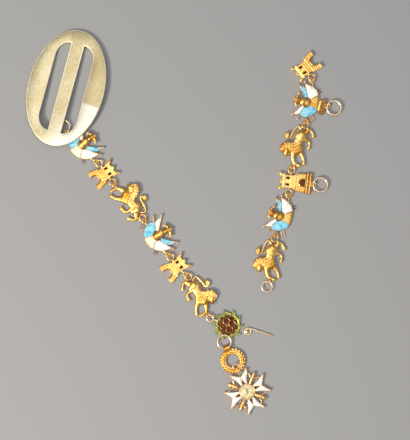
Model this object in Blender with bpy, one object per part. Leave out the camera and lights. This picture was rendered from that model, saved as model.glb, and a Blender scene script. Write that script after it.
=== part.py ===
# Chain of office laid on a table: two stretches of cast links, an oval slide buckle,
# a round medallion with a dress pin, and a hanging star. Metres, +Z up, lying on z = 0.
# Every link is cast flat at the back. It carries flat rings and upright loops, and each
# loop passes through its neighbour's flat ring.
from collections import namedtuple
from math import cos, hypot, pi, radians, sin

import bmesh
import bpy
from mathutils import Matrix, Vector

MM = 0.001

# Sizes in millimetres
LINK_PLATE = 1.3
LION_LENGTH = 17.05
CASTLE_HEIGHT = 11.34
TROPHY_WIDTH = 17.6
GAP = 0.3

RING_ACROSS = 3.4
RING_WIRE = 0.65
RING_HEIGHT = 1.17
LOOP_WIRE = 0.5
BIG_RING_ACROSS = 6.7
BIG_RING_WIRE = 0.8
END_RING_ACROSS = 5.0
END_RING_WIRE = 0.6

BUCKLE_LENGTH = 50.0
BUCKLE_WIDTH = 32.2
BUCKLE_PLATE = 1.2
BUCKLE_EDGE = 0.3
BUCKLE_BAR = 5.7
SLOT_WIDTH = 5.15
SLOT_LENGTH = 37.8
SLOT_CORNER = 6.3
BUCKLE_LEAN = 14.85
BUCKLE_TILT = 3.6
TILT_TOWARDS = -75.0

MEDALLION_ACROSS = 10.3
MEDALLION_RIM = 1.25
MEDALLION_PLATE = 0.5
PENDANT_RING_ACROSS = 6.4
PENDANT_RING_WIRE = 0.66
WREATH_ACROSS = 10.5
WREATH_RIM = 2.4
BAIL_LENGTH = 2.5
BAIL_WALL = 0.4
STAR_ACROSS = 19.7
STAR_PLATE = 1.1
HUB_ACROSS = 6.9
STAPLE_WIDTH = 2.5
SHANK_WIDTH = 0.6
EYE_ACROSS = 2.8
EYE_WIRE = 0.5
EYE_HEIGHT = 1.85
PIN_WIRE = 0.76
PIN_COIL = 3.5
PIN_SHAFT = 11.0

# Turns about the medallion's middle, in degrees, and the pendant's own heading
CHAIN_RING_TURN = 159.0
PENDANT_RING_TURN = -102.7
PENDANT_TURN = -65.0
PIN_TURN = -17.4

# The drawings of the links count in shares of a link's own length, on these grids
LION_GRID = LION_LENGTH / 40.6
CASTLE_GRID = CASTLE_HEIGHT / 27
TROPHY_GRID = TROPHY_WIDTH / 42

# A loop's own circle follows from the wire that it holds
LOOP_RADIUS = RING_WIRE / 2 + GAP + LOOP_WIRE / 2
RING_RADIUS = (RING_ACROSS - RING_WIRE) / 2
BIG_RING_RADIUS = (BIG_RING_ACROSS - BIG_RING_WIRE) / 2
END_RING_RADIUS = (END_RING_ACROSS - END_RING_WIRE) / 2
PENDANT_RING_RADIUS = (PENDANT_RING_ACROSS - PENDANT_RING_WIRE) / 2

# The bail runs free on the pendant ring's wire
BAIL_HOLE = PENDANT_RING_WIRE / 2 + GAP + 0.2
BAIL_RADIUS = BAIL_HOLE + BAIL_WALL
BAIL_HEIGHT = RING_HEIGHT + 0.1
BAIL_UP = WREATH_ACROSS / 2 + BAIL_RADIUS - 0.45
STAPLE_UP = 0.75 - WREATH_ACROSS / 2
SHANK_UP = STAR_ACROSS / 2 * 0.98

# Large rings' places on the two plinths, on the grids: lower edge, across
TROPHY_PLINTH_EYE = (-20.6, 2.0)
CASTLE_PLINTH_EYE = (-18.2, 0.0)

# Where each kind of link is held: the centre of the ring there, and the point of the
# casting that the loop's stem or the ring's lug runs to
Hold = namedtuple("Hold", "across up foot_across foot_up")
CASTLE_LEFT = Hold(-11.4, 2.9, -5.5, 2.9)
CASTLE_RIGHT = Hold(11.6, 2.8, 5.5, 2.8)
CASTLE_STEM = Hold(15.0, 5.0, 5.6, 3.2)
TROPHY_LEFT = Hold(-21.9, -6.3, -13.6, -6.2)
TROPHY_RIGHT = Hold(25.8, -0.6, 14.4, -4.8)
LION_PAW = Hold(28.0, 7.0, 20.4, 4.6)
LION_RUMP = Hold(-17.2, -5.5, -12.4, -9.2)

# The order of the links, the heading of each one's top, and what holds it to the last
Link = namedtuple("Link", "name kind heading side into out")
LEFT_STRETCH = (
    Link("trophy_1", "trophy", 38.5, 1, TROPHY_LEFT, TROPHY_RIGHT),
    Link("castle_1", "castle", 36.0, 1, CASTLE_LEFT, CASTLE_RIGHT),
    Link("lion_1", "lion", 55.5, -1, LION_PAW, LION_RUMP),
    Link("trophy_2", "trophy", 28.5, 1, TROPHY_LEFT, TROPHY_RIGHT),
    Link("castle_2", "castle_stem", 38.0, 1, CASTLE_LEFT, CASTLE_STEM),
    Link("lion_2", "lion_turned", 12.0, 1, LION_RUMP, LION_PAW),
)
RIGHT_STRETCH = (
    Link("castle_3", "castle_end", 218.0, 1, CASTLE_RIGHT, CASTLE_LEFT),
    Link("trophy_3", "trophy_plinth", 165.5, 1, TROPHY_RIGHT, TROPHY_LEFT),
    Link("lion_3", "lion", 178.5, -1, LION_RUMP, LION_PAW),
    Link("castle_4", "castle_plinth", 173.5, 1, CASTLE_RIGHT, CASTLE_LEFT),
    Link("trophy_4", "trophy", 156.0, 1, TROPHY_RIGHT, TROPHY_LEFT),
    Link("lion_4", "lion", 186.5, -1, LION_RUMP, LION_PAW),
)
# First link of each stretch, from the buckle's middle
LEFT_START = (7.14, -22.97)
RIGHT_START = (100.9, 9.0)


def start_scene():
    for old in list(bpy.data.objects):
        bpy.data.objects.remove(old, do_unlink=True)


def metal(name, red, green, blue, roughness):
    material = bpy.data.materials.new(name)
    material.use_nodes = True
    shader = material.node_tree.nodes["Principled BSDF"]
    shader.inputs["Base Color"].default_value = (red, green, blue, 1)
    shader.inputs["Metallic"].default_value = 1.0
    shader.inputs["Roughness"].default_value = roughness
    return material


def loft(sections, ring=False):
    # Skins a row of outlines with the same number of points, and closes the ends
    bm = bmesh.new()
    rows = [[bm.verts.new(point) for point in section] for section in sections]
    pairs = list(zip(rows, rows[1:]))
    if ring:
        pairs.append((rows[-1], rows[0]))
    count = len(rows[0])
    for first, second in pairs:
        for i in range(count):
            j = (i + 1) % count
            bm.faces.new((first[i], first[j], second[j], second[i]))
    if not ring:
        bm.faces.new(list(reversed(rows[0])))
        bm.faces.new(rows[-1])
    bmesh.ops.recalc_face_normals(bm, faces=bm.faces)
    return bm


def slab(outline, low, high, edge, grid=1.0):
    # A flat plate with a chamfered upper edge
    bm = bmesh.new()
    face = bm.faces.new([bm.verts.new((x * grid, y * grid, low)) for x, y in outline])
    raised = bmesh.ops.extrude_face_region(bm, geom=[face])
    verts = [item for item in raised["geom"] if isinstance(item, bmesh.types.BMVert)]
    bmesh.ops.translate(bm, verts=verts, vec=(0, 0, high - edge - low))
    bmesh.ops.recalc_face_normals(bm, faces=bm.faces)
    if edge:
        bm.faces.ensure_lookup_table()
        top = [f for f in bm.faces if all(abs(v.co.z - high + edge) < 1e-6 for v in f.verts)]
        bmesh.ops.inset_individual(bm, faces=top, thickness=edge, depth=edge)
    return bm


def block(across, up, wide, long, low, high, edge=0.0, grid=1.0):
    corners = ((-1, -1), (1, -1), (1, 1), (-1, 1))
    outline = [(across + i * wide / 2, up + j * long / 2) for i, j in corners]
    return slab(outline, low, high, edge, grid)


def tube(rows, grid=1.0, sides=6):
    # rows: across, up (on the grid), height (mm), half width (grid), half thickness (mm)
    points = [Vector((x * grid, y * grid, z)) for x, y, z, wide, thick in rows]
    sections = []
    for i, (x, y, z, wide, thick) in enumerate(rows):
        before = points[max(i - 1, 0)]
        after = points[min(i + 1, len(rows) - 1)]
        along = (after - before).normalized()
        side = along.cross(Vector((0, 0, 1)))
        side = side.normalized() if side.length > 1e-6 else Vector((1, 0, 0))
        over = side.cross(along)
        section = []
        for k in range(sides):
            turn = 2 * pi * k / sides
            section.append(points[i] + side * cos(turn) * wide * grid + over * sin(turn) * thick)
        sections.append(section)
    return loft(sections)


def hoop(centre, radius, wire, towards=None, around=12, sides=5):
    # A round ring: flat, or upright in the plane that runs towards a direction
    flat_x = Vector((1, 0, 0)) if towards is None else Vector((towards[0], towards[1], 0))
    flat_y = Vector((0, 1, 0)) if towards is None else Vector((0, 0, 1))
    normal = flat_x.cross(flat_y)
    sections = []
    for i in range(around):
        turn = 2 * pi * (i + 0.5) / around
        out = flat_x * cos(turn) + flat_y * sin(turn)
        middle = Vector(centre) + out * radius
        section = []
        for k in range(sides):
            roll = 2 * pi * k / sides
            section.append(middle + out * cos(roll) * wire / 2 + normal * sin(roll) * wire / 2)
        sections.append(section)
    return loft(sections, ring=True)


def fan(radius, start, end, steps):
    # Points along an arc, in degrees
    turns = [radians(start + (end - start) * i / steps) for i in range(steps + 1)]
    return [(radius * cos(turn), radius * sin(turn)) for turn in turns]


def flat_ring(hold, grid):
    # A flat ring with the lug that solders it to the casting
    centre = Vector((hold.across * grid, hold.up * grid, RING_HEIGHT))
    foot = Vector((hold.foot_across * grid, hold.foot_up * grid, RING_HEIGHT))
    near = centre + (foot - centre).normalized() * RING_RADIUS
    lug = tube(
        (
            (near.x, near.y, RING_HEIGHT - 0.1, 0.45, 0.3),
            (foot.x, foot.y, LINK_PLATE - 0.5, 0.7, 0.45),
        )
    )
    return [hoop(centre, RING_RADIUS, RING_WIRE), lug]


def loop(hold, grid):
    # An upright loop round the neighbour's ring wire, with its stem
    centre = Vector((hold.across * grid, hold.up * grid, RING_HEIGHT))
    foot = Vector((hold.foot_across * grid, hold.foot_up * grid, RING_HEIGHT))
    towards = (foot - centre).normalized()
    middle = centre + towards * RING_RADIUS
    stem = middle + towards * LOOP_RADIUS
    rod = tube(
        (
            (stem.x, stem.y, RING_HEIGHT, LOOP_WIRE / 2, LOOP_WIRE / 2),
            (foot.x, foot.y, LINK_PLATE - 0.5, LOOP_WIRE * 0.7, LOOP_WIRE * 0.7),
        )
    )
    return [hoop(middle, LOOP_RADIUS, LOOP_WIRE, towards, around=10), rod]


def as_object(name, bm):
    mesh = bpy.data.meshes.new(name)
    bm.to_mesh(mesh)
    bm.free()
    made = bpy.data.objects.new(name, mesh)
    bpy.context.scene.collection.objects.link(made)
    return made


def tool_collection(name, bodies):
    # Helper bodies for a Boolean, kept out of the render
    group = bpy.data.collections.new(name)
    for i, body in enumerate(bodies):
        helper = as_object(name + "_" + str(i), body)
        bpy.context.scene.collection.objects.unlink(helper)
        group.objects.link(helper)
    return group


def fused(name, bodies, cuts=()):
    # One solid mesh from overlapping bodies, less the cuts, scaled to metres
    base = as_object(name, bodies[0])
    groups = []
    for operation, others in (("UNION", bodies[1:]), ("DIFFERENCE", cuts)):
        if not others:
            continue
        group = tool_collection(name + "_" + operation.lower(), others)
        groups.append(group)
        step = base.modifiers.new(operation.lower(), "BOOLEAN")
        step.operation = operation
        step.operand_type = "COLLECTION"
        step.collection = group
        step.solver = "EXACT"
    bpy.context.view_layer.update()
    graph = bpy.context.evaluated_depsgraph_get()
    mesh = bpy.data.meshes.new_from_object(base.evaluated_get(graph))
    mesh.name = name
    bpy.data.objects.remove(base, do_unlink=True)
    for group in groups:
        for helper in list(group.objects):
            bpy.data.objects.remove(helper, do_unlink=True)
        bpy.data.collections.remove(group)
    bm = bmesh.new()
    bm.from_mesh(mesh)
    bmesh.ops.remove_doubles(bm, verts=bm.verts, dist=0.001)
    bmesh.ops.dissolve_degenerate(bm, edges=bm.edges, dist=0.001)
    bmesh.ops.scale(bm, verts=bm.verts, vec=(MM, MM, MM))
    bm.to_mesh(mesh)
    bm.free()
    mesh.shade_smooth()
    mesh.set_sharp_from_angle(angle=radians(35))
    return mesh


# Castle: a gated tower, drawn from its right half. Columns: across, up
CASTLE_HALF = (
    (4.2, -12.7),
    (10.5, -12.3),
    (8.6, -4.0),
    (7.2, -1.8),
    (6.3, 0.6),
    (6.2, 7.7),
    (7.4, 8.3),
    (7.6, 9.8),
    (8.7, 14.3),
    (5.4, 13.2),
    (4.3, 10.6),
    (1.9, 10.6),
    (1.7, 13.0),
)
GATE_HALF = ((4.2, -9.6), (3.2, -7.3), (1.6, -6.1))
PLINTH_HALF = ((9.4, -13.0), (9.0, -4.0), (7.4, -1.8))


def castle_bodies(half, gate, cuts):
    right = list(half)
    left = [(-x, y) for x, y in reversed(half)]
    outline = right + left
    if gate:
        arch = [(-x, y) for x, y in GATE_HALF] + [(0, -5.8)]
        outline += arch + [point for point in reversed(GATE_HALF)]
    plate = slab(outline, 0, LINK_PLATE, 0.18, CASTLE_GRID)
    bodies = [plate]
    bodies.append(block(0, 9.0, 14.6, 1.6, 0.6, LINK_PLATE + 0.35, 0.15, CASTLE_GRID))
    bodies.append(block(0, 2.9, 11.6, 9.8, 0.55, LINK_PLATE + 0.2, 0, CASTLE_GRID))
    bodies.append(block(0, -2.9, 15.4, 1.5, 0.6, LINK_PLATE + 0.3, 0.15, CASTLE_GRID))
    for side in (-1, 1):
        cuts.append(block(side * 3.3, 5.5, 1.7, 3.2, -1, 4, 0, CASTLE_GRID))
    return bodies


def castle(holds_rings, holds_loops):
    cuts = []
    bodies = castle_bodies(CASTLE_HALF, True, cuts)
    for hold in holds_rings:
        bodies += flat_ring(hold, CASTLE_GRID)
    for hold in holds_loops:
        bodies += loop(hold, CASTLE_GRID)
    return fused("castle", bodies, cuts)


def castle_on_plinth():
    # The gate is a closed arched window here, over a ribbed plinth that carries a ring
    cuts = []
    bodies = castle_bodies(PLINTH_HALF + CASTLE_HALF[4:], False, cuts)
    for up in (-14.2, -17.2):
        bodies.append(
            tube(
                (
                    (-10.5, up, 0.75, 1.55, 0.72),
                    (10.5, up, 0.75, 1.55, 0.72),
                ),
                CASTLE_GRID,
                8,
            )
        )
    window = [(-3.2, -12.2), (3.2, -12.2), (3.2, -8.6), (2.0, -7.0), (0, -6.4)]
    window += [(-2.0, -7.0), (-3.2, -8.6)]
    cuts.append(slab(window, 0.55, 4, 0, CASTLE_GRID))
    for hold in (CASTLE_LEFT, CASTLE_RIGHT):
        bodies += flat_ring(hold, CASTLE_GRID)
    bodies += plinth_eye(CASTLE_PLINTH_EYE, CASTLE_GRID)
    return fused("castle_plinth", bodies, cuts)


def plinth_eye(place, grid):
    # An upright eye that carries the large ring
    edge, across = place
    radius = BIG_RING_WIRE / 2 + GAP + LOOP_WIRE / 2
    height = radius + LOOP_WIRE / 2 + 0.02
    middle = (across * grid, edge * grid - radius, height)
    return [hoop(middle, radius, LOOP_WIRE, (0, 1), around=10)]


def big_ring_place(place, grid):
    # Centre of the large ring in the link's drawing, and its height
    edge, across = place
    radius = BIG_RING_WIRE / 2 + GAP + LOOP_WIRE / 2
    up = edge * grid - radius - BIG_RING_RADIUS
    return Vector((across * grid, up, radius + LOOP_WIRE / 2 + 0.02))


# Trophy: four flags on poles fan out behind a cuirass and helmet. Columns: across, up
BLUE_FLAG = (
    (-4.4, -0.6),
    (-12.6, 1.6),
    (-14.6, -2.6),
    (-13.6, -7.4),
    (-10.6, -11.2),
    (-6.6, -13.8),
    (-2.2, -13.6),
    (-2.4, -6.4),
)
WHITE_FLAG = (
    (3.4, -3.6),
    (8.6, -1.6),
    (18.6, 5.6),
    (17.0, -1.4),
    (14.2, -7.6),
    (10.6, -11.4),
    (6.4, -13.0),
    (3.2, -9.6),
)
WHITE_INNER = (
    (-2.2, -3.6),
    (-6.8, 4.6),
    (-14.6, 10.0),
    (-13.4, 5.4),
    (-11.8, -1.2),
    (-6.0, -3.0),
)
BLUE_INNER = (
    (4.4, -4.8),
    (7.6, 3.0),
    (15.2, 11.4),
    (14.0, 6.2),
    (12.2, 0.2),
    (9.2, -3.2),
)
DRAPERY = (
    (-2.6, -3.0),
    (3.6, -3.6),
    (4.4, -10.8),
    (7.4, -13.4),
    (1.6, -15.0),
    (-4.4, -14.8),
    (-2.6, -9.4),
)
# Columns: tip across, tip up, foot across, foot up
POLES = (
    (-18.8, 3.4, -8.0, -3.6),
    (-15.8, 11.6, -3.4, -3.4),
    (16.4, 13.2, 4.6, -4.0),
    (21.2, 6.4, 7.4, -5.0),
)
PRONGS = (
    (-15.6, -14.8, -9.6, -9.0),
    (-17.2, -12.6, -10.6, -7.6),
    (17.2, -12.4, 11.0, -7.6),
    (15.4, -14.4, 9.8, -8.8),
)


def pole(tip_x, tip_y, foot_x, foot_y):
    # A flag pole that ends in a ball
    long = hypot(tip_x - foot_x, tip_y - foot_y)
    step_x = (tip_x - foot_x) / long
    step_y = (tip_y - foot_y) / long
    # Columns: distance back from the tip, half width
    shape = ((0.0, 0.6), (1.1, 1.4), (2.6, 0.65), (long, 0.6))
    rows = [
        (tip_x - step_x * back, tip_y - step_y * back, 0.85, wide, wide * TROPHY_GRID)
        for back, wide in reversed(shape)
    ]
    return tube(rows, TROPHY_GRID, 4)


def trophy_bodies():
    bodies = [slab(DRAPERY, 0.06, 1.12, 0, TROPHY_GRID)]
    bodies.append(slab(WHITE_INNER, 0.2, 0.98, 0, TROPHY_GRID))
    bodies.append(slab(BLUE_INNER, 0.25, 1.02, 0, TROPHY_GRID))
    bodies.append(slab(BLUE_FLAG, 0.0, 1.35, 0.2, TROPHY_GRID))
    bodies.append(slab(WHITE_FLAG, 0.0, 1.3, 0.2, TROPHY_GRID))
    for row in POLES:
        bodies.append(pole(*row))
    for tip_x, tip_y, foot_x, foot_y in PRONGS:
        rows = ((foot_x, foot_y, 0.62, 0.6, 0.26), (tip_x, tip_y, 0.5, 0.4, 0.17))
        bodies.append(tube(rows, TROPHY_GRID, 4))
    # The cuirass, with its ribs. Columns: across, up, height, half width, half thickness
    cuirass = (
        (0.6, -7.0, 0.9, 2.8, 0.75),
        (0.4, -3.6, 1.0, 3.8, 1.0),
        (0.2, -0.4, 1.05, 3.0, 0.9),
        (0.1, 3.4, 1.1, 4.2, 1.1),
        (0.0, 7.0, 1.1, 2.6, 0.9),
    )
    bodies.append(tube(cuirass, TROPHY_GRID, 6))
    helmet = (
        (0.0, 6.4, 1.1, 1.6, 0.7),
        (0.0, 8.6, 1.15, 3.7, 1.05),
        (0.0, 11.6, 1.15, 3.2, 0.95),
        (0.0, 13.8, 1.0, 1.0, 0.4),
    )
    bodies.append(tube(helmet, TROPHY_GRID, 6))
    for side in (-1, 1):
        arm = (
            (side * 1.5, 9.6, 1.2, 0.9, 0.4),
            (side * 5.8, 8.6, 1.15, 1.6, 0.6),
            (side * 7.9, 7.4, 1.1, 0.9, 0.35),
        )
        bodies.append(tube(arm, TROPHY_GRID, 5))
    for hold in (TROPHY_LEFT, TROPHY_RIGHT):
        bodies += loop(hold, TROPHY_GRID)
    return bodies


def trophy():
    return fused("trophy", trophy_bodies())


def trophy_on_plinth():
    bodies = trophy_bodies()
    bodies.append(block(0.6, -16.0, 10.0, 3.4, 0.1, 1.1, 0, TROPHY_GRID))
    for up in (-16.9, -18.5, -20.1):
        rows = ((-7.8, up, 0.75, 1.05, 0.7), (7.8, up, 0.75, 1.05, 0.7))
        bodies.append(tube(rows, TROPHY_GRID, 6))
    bodies += plinth_eye(TROPHY_PLINTH_EYE, TROPHY_GRID)
    return fused("trophy_plinth", bodies)


# Lion, walking. Columns: front, up, height (mm), half width, half thickness (mm)
LION_PIECES = {
    "trunk": (
        (-10.0, -1.6, 0.8, 2.4, 0.6),
        (-6.2, -1.6, 0.95, 5.2, 0.95),
        (-1.2, 0.8, 0.95, 3.9, 0.9),
        (6.0, 2.7, 1.05, 6.1, 1.0),
        (13.0, 4.3, 0.9, 2.8, 0.65),
    ),
    "mane": (
        (5.4, -1.6, 0.9, 3.4, 0.8),
        (5.8, 5.0, 1.15, 6.7, 1.15),
        (6.2, 12.2, 1.2, 6.1, 1.2),
        (9.0, 18.0, 1.0, 1.6, 0.6),
    ),
    "muzzle": (
        (6.4, 12.6, 1.5, 3.4, 0.8),
        (11.0, 13.0, 1.4, 2.8, 0.8),
        (14.0, 13.3, 1.1, 1.2, 0.45),
    ),
    "tongue": (
        (12.0, 13.6, 0.9, 0.9, 0.35),
        (15.6, 15.2, 0.8, 0.5, 0.2),
    ),
    "foreleg_high": (
        (10.0, 5.4, 0.95, 3.0, 0.8),
        (19.4, 5.0, 0.8, 1.6, 0.5),
        (22.0, 2.6, 0.75, 1.2, 0.42),
        (23.6, -0.2, 0.75, 1.4, 0.45),
    ),
    "foreleg_low": (
        (8.6, -0.4, 0.9, 2.8, 0.75),
        (16.4, -4.7, 0.75, 1.3, 0.42),
        (21.4, -5.2, 0.75, 1.3, 0.42),
    ),
    "thigh": (
        (-3.4, -2.2, 1.0, 4.0, 0.9),
        (-1.4, -8.6, 0.8, 1.4, 0.45),
        (2.4, -10.4, 0.7, 1.2, 0.4),
        (6.2, -9.2, 0.7, 1.3, 0.42),
    ),
    "hind_leg": (
        (-7.8, -3.2, 0.9, 3.0, 0.75),
        (-12.3, -9.6, 0.8, 1.5, 0.5),
        (-9.6, -12.9, 0.7, 1.2, 0.4),
        (-5.0, -14.0, 0.7, 1.4, 0.42),
    ),
    "tail": (
        (-8.6, -0.6, 0.8, 1.2, 0.4),
        (-13.6, -1.2, 0.8, 0.8, 0.34),
        (-15.7, 1.4, 0.8, 0.8, 0.34),
        (-12.6, 4.6, 0.8, 0.8, 0.34),
        (-4.9, 8.8, 0.8, 0.85, 0.35),
        (-4.4, 11.4, 0.85, 1.3, 0.42),
        (-8.0, 12.4, 0.9, 1.9, 0.6),
        (-10.9, 10.0, 0.8, 0.5, 0.2),
    ),
}
# Curls of the mane. Columns: front, up, turn of the curl
CURLS = (
    (1.2, 14.4, 128),
    (-0.4, 10.0, 175),
    (12.2, 8.0, -35),
)


def lion(side):
    bodies = []
    for piece, rows in LION_PIECES.items():
        turned = [(side * x, y, z, wide, thick) for x, y, z, wide, thick in rows]
        sides = {"trunk": 6, "mane": 6, "tail": 4, "tongue": 4}.get(piece, 5)
        bodies.append(tube(turned, LION_GRID, sides))
    for x, y, turn in CURLS:
        out_x = cos(radians(turn))
        out_y = sin(radians(turn))
        rows = (
            (side * (x - 3 * out_x), y - 3 * out_y, 1.4, 1.5, 0.5),
            (side * (x + 0.6 * out_x), y + 0.6 * out_y, 1.2, 0.8, 0.4),
        )
        bodies.append(tube(rows, LION_GRID, 4))
    # Flat soles at the back, so that the casting lies on the table
    for x, y in ((6, 8), (-5, -1.2)):
        bodies.append(block(side * x, y, 5.6, 5.0, 0.0, 1.0, 0, LION_GRID))
    bodies += flat_ring(turned_hold(LION_RUMP, side), LION_GRID)
    bodies += loop(turned_hold(LION_PAW, side), LION_GRID)
    return fused("lion", bodies)


def turned_hold(hold, side):
    return Hold(side * hold.across, hold.up, side * hold.foot_across, hold.foot_up)


def buckle():
    # Oval slide plate. The slots are straight along the bar and rounded outside
    ellipse = []
    for i in range(48):
        turn = 2 * pi * i / 48
        ellipse.append((BUCKLE_WIDTH / 2 * cos(turn), BUCKLE_LENGTH / 2 * sin(turn)))
    plate = slab(ellipse, 0, BUCKLE_PLATE, BUCKLE_EDGE)
    cuts = []
    for side in (-1, 1):
        inner = BUCKLE_BAR / 2
        middle = SLOT_LENGTH / 2 - SLOT_CORNER
        slot = [(inner, -SLOT_LENGTH / 2)]
        for sign, turns in ((-1, range(7, -1, -1)), (1, range(8))):
            for i in turns:
                turn = pi / 2 * i / 8
                x = inner + SLOT_WIDTH * cos(turn)
                slot.append((x, sign * (middle + SLOT_CORNER * sin(turn))))
        slot.append((inner, SLOT_LENGTH / 2))
        slot = [(side * x, y) for x, y in slot]
        cuts.append(slab(slot, -1, BUCKLE_PLATE + 1, 0))
    return fused("buckle", [plate], cuts)


def medallion():
    # Raised rim with leaves, a thin ground, wire tracery, and two rings soldered on
    outer = MEDALLION_ACROSS / 2
    middle = outer - MEDALLION_RIM / 2
    rim = hoop((0, 0, 0.85), middle, MEDALLION_RIM, around=18, sides=6)
    ground = slab(fan(middle, 0, 324, 9), 0.3, 0.3 + MEDALLION_PLATE, 0.0)
    bodies = [rim, ground]
    for i in range(10):
        turn = radians(15 + 36 * i)
        lean = turn + radians(24)
        start = (outer - 0.5) * cos(turn), (outer - 0.5) * sin(turn)
        end = (outer + 1.5) * cos(lean), (outer + 1.5) * sin(lean)
        rows = (
            (start[0], start[1], 0.8, 0.6, 0.34),
            (end[0], end[1], 0.6, 0.15, 0.12),
        )
        bodies.append(tube(rows, 1, 4))
    for i in range(4):
        turn = radians(90 * i + 20)
        x = 2.0 * cos(turn)
        y = 2.0 * sin(turn)
        bodies.append(hoop((x, y, 0.9), 1.3, 0.4, around=8, sides=4))
    bodies.append(slab(fan(0.9, 0, 315, 7), 0.5, 1.35, 0.2))
    bodies += flat_ring(medallion_hold(), 1)
    ring_x, ring_y = pendant_ring_place()
    bodies.append(
        hoop(
            (ring_x, ring_y, BAIL_HEIGHT),
            PENDANT_RING_RADIUS,
            PENDANT_RING_WIRE,
            around=14,
        )
    )
    return fused("medallion", bodies)


def medallion_hold():
    far = MEDALLION_ACROSS / 2 + RING_ACROSS / 2 + 1.25
    near = MEDALLION_ACROSS / 2 - 0.4
    turn = radians(CHAIN_RING_TURN)
    return Hold(far * cos(turn), far * sin(turn), near * cos(turn), near * sin(turn))


def pendant_ring_place():
    far = MEDALLION_ACROSS / 2 - MEDALLION_RIM / 2 + PENDANT_RING_ACROSS / 2 - 0.55
    turn = radians(PENDANT_RING_TURN)
    return far * cos(turn), far * sin(turn)


def wreath():
    # Drawn with the pendant's axis along y, the bail at the top and the staple below
    outer = WREATH_ACROSS / 2
    count = 24
    sections = []
    for i in range(count):
        turn = 2 * pi * i / count
        leaf = 0.28 if i % 2 else -0.14
        wide = WREATH_RIM / 2 + leaf
        middle = outer - WREATH_RIM / 2
        section = []
        for across, high in ((1, 0.55), (0.5, 1.25), (-0.5, 1.2), (-1, 0.5), (0, 0)):
            far = middle + across * wide
            section.append((far * cos(turn), far * sin(turn), high))
        sections.append(section)
    bodies = [loft(sections, ring=True)]
    # The bail is a short barrel across the axis, open right through
    barrel = []
    for along in (-1, 1):
        for radius in (BAIL_HOLE, BAIL_RADIUS):
            ring = []
            for k in range(10):
                turn = 2 * pi * (k + 0.5) / 10
                y = BAIL_UP + radius * cos(turn)
                ring.append((along * BAIL_LENGTH / 2, y, BAIL_HEIGHT + radius * sin(turn)))
            barrel.append(ring)
    barrel = [barrel[0], barrel[1], barrel[3], barrel[2]]
    bodies.append(loft(barrel, ring=True))
    for across in (-0.8, 0.8):
        bodies.append(hoop_across(across, BAIL_UP, BAIL_HEIGHT, BAIL_RADIUS - 0.05, 0.4))
    # The staple over the star's shank
    low = 1.0
    under = EYE_HEIGHT + 0.25 + GAP
    post = (STAPLE_WIDTH - SHANK_WIDTH - 2 * GAP) / 2
    for side in (-1, 1):
        x = side * (STAPLE_WIDTH - post) / 2
        bodies.append(block(x, STAPLE_UP, post, 0.8, low - 0.4, under + 0.2, 0))
    bodies.append(block(0, STAPLE_UP, STAPLE_WIDTH, 0.8, under, under + 0.5, 0.12))
    return fused("wreath", bodies)


def hoop_across(across, up, height, radius, wire):
    bm = hoop((0, 0, 0), radius, wire, (0, 1), around=10, sides=4)
    bmesh.ops.translate(bm, verts=bm.verts, vec=(across, up, height))
    return bm


# The star's arm between two ball points. Columns: share of the star's radius, turn
ARM_HALF = ((0.30, 24), (0.62, 20.5), (0.93, 23.4), (0.93, 19.0))
FLEUR = (
    (0.30, 1.0),
    (0.60, 1.9),
    (0.78, 1.3),
    (0.90, 0.5),
)


def star():
    radius = STAR_ACROSS / 2
    hub = HUB_ACROSS / 2
    bodies = [slab(fan(hub, 0, 340, 17), 0.0, 1.75, 0.3)]
    cuts = []
    for quarter in range(4):
        turn = 90 + 90 * quarter
        arm = []
        for share, away in ARM_HALF:
            arm.append((share * radius, turn - away))
        arm.append((0.66 * radius, turn))
        for share, away in reversed(ARM_HALF):
            arm.append((share * radius, turn + away))
        outline = [(far * cos(radians(t)), far * sin(radians(t))) for far, t in arm]
        bodies.append(slab(outline, 0.25, 0.25 + STAR_PLATE, 0.12))
        # The dark notch beside the hub is cut through
        notch = []
        for share, away in ((0.365, -9.0), (0.365, 9.0), (0.52, 0.0)):
            t = radians(turn + away)
            notch.append((share * radius * cos(t), share * radius * sin(t)))
        cuts.append(slab(notch, -1, 4, 0))
        for side in (-1, 1):
            t = radians(turn + side * 21.4)
            ball = []
            for far, wide in ((0.88, 0.3), (0.95, 0.56), (1.0, 0.25)):
                x = far * radius * cos(t)
                y = far * radius * sin(t)
                ball.append((x, y, 0.75, wide, wide))
            bodies.append(tube(ball, 1, 5))
        middle = turn + 45
        rows = []
        for share, wide in FLEUR:
            x = share * radius * cos(radians(middle))
            y = share * radius * sin(radians(middle))
            rows.append((x, y, 0.85, wide * 0.42, 0.3 + wide * 0.2))
        bodies.append(tube(rows, 1, 5))
        for side in (-1, 1):
            curl = []
            for share, away, wide in (
                (0.54, 5, 0.32),
                (0.70, 14, 0.3),
                (0.66, 24, 0.3),
            ):
                t = radians(middle + side * away)
                curl.append((share * radius * cos(t), share * radius * sin(t), 0.8, wide, wide))
            bodies.append(tube(curl, 1, 4))
    # The shank and eye that the wreath's staple holds
    eye_up = SHANK_UP + 0.4 + GAP + EYE_ACROSS / 2
    shank = (
        (0, 0.62 * radius, 1.1, SHANK_WIDTH / 2, 0.3),
        (0, 0.80 * radius, EYE_HEIGHT - 0.1, SHANK_WIDTH / 2, 0.25),
        (0, SHANK_UP, EYE_HEIGHT, SHANK_WIDTH / 2, 0.22),
        (0, eye_up - EYE_ACROSS / 2 + 0.3, EYE_HEIGHT, SHANK_WIDTH / 2, 0.22),
    )
    bodies.append(tube(shank))
    bodies.append(hoop((0, eye_up, EYE_HEIGHT), (EYE_ACROSS - EYE_WIRE) / 2, EYE_WIRE))
    return fused("star", bodies, cuts)


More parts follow.
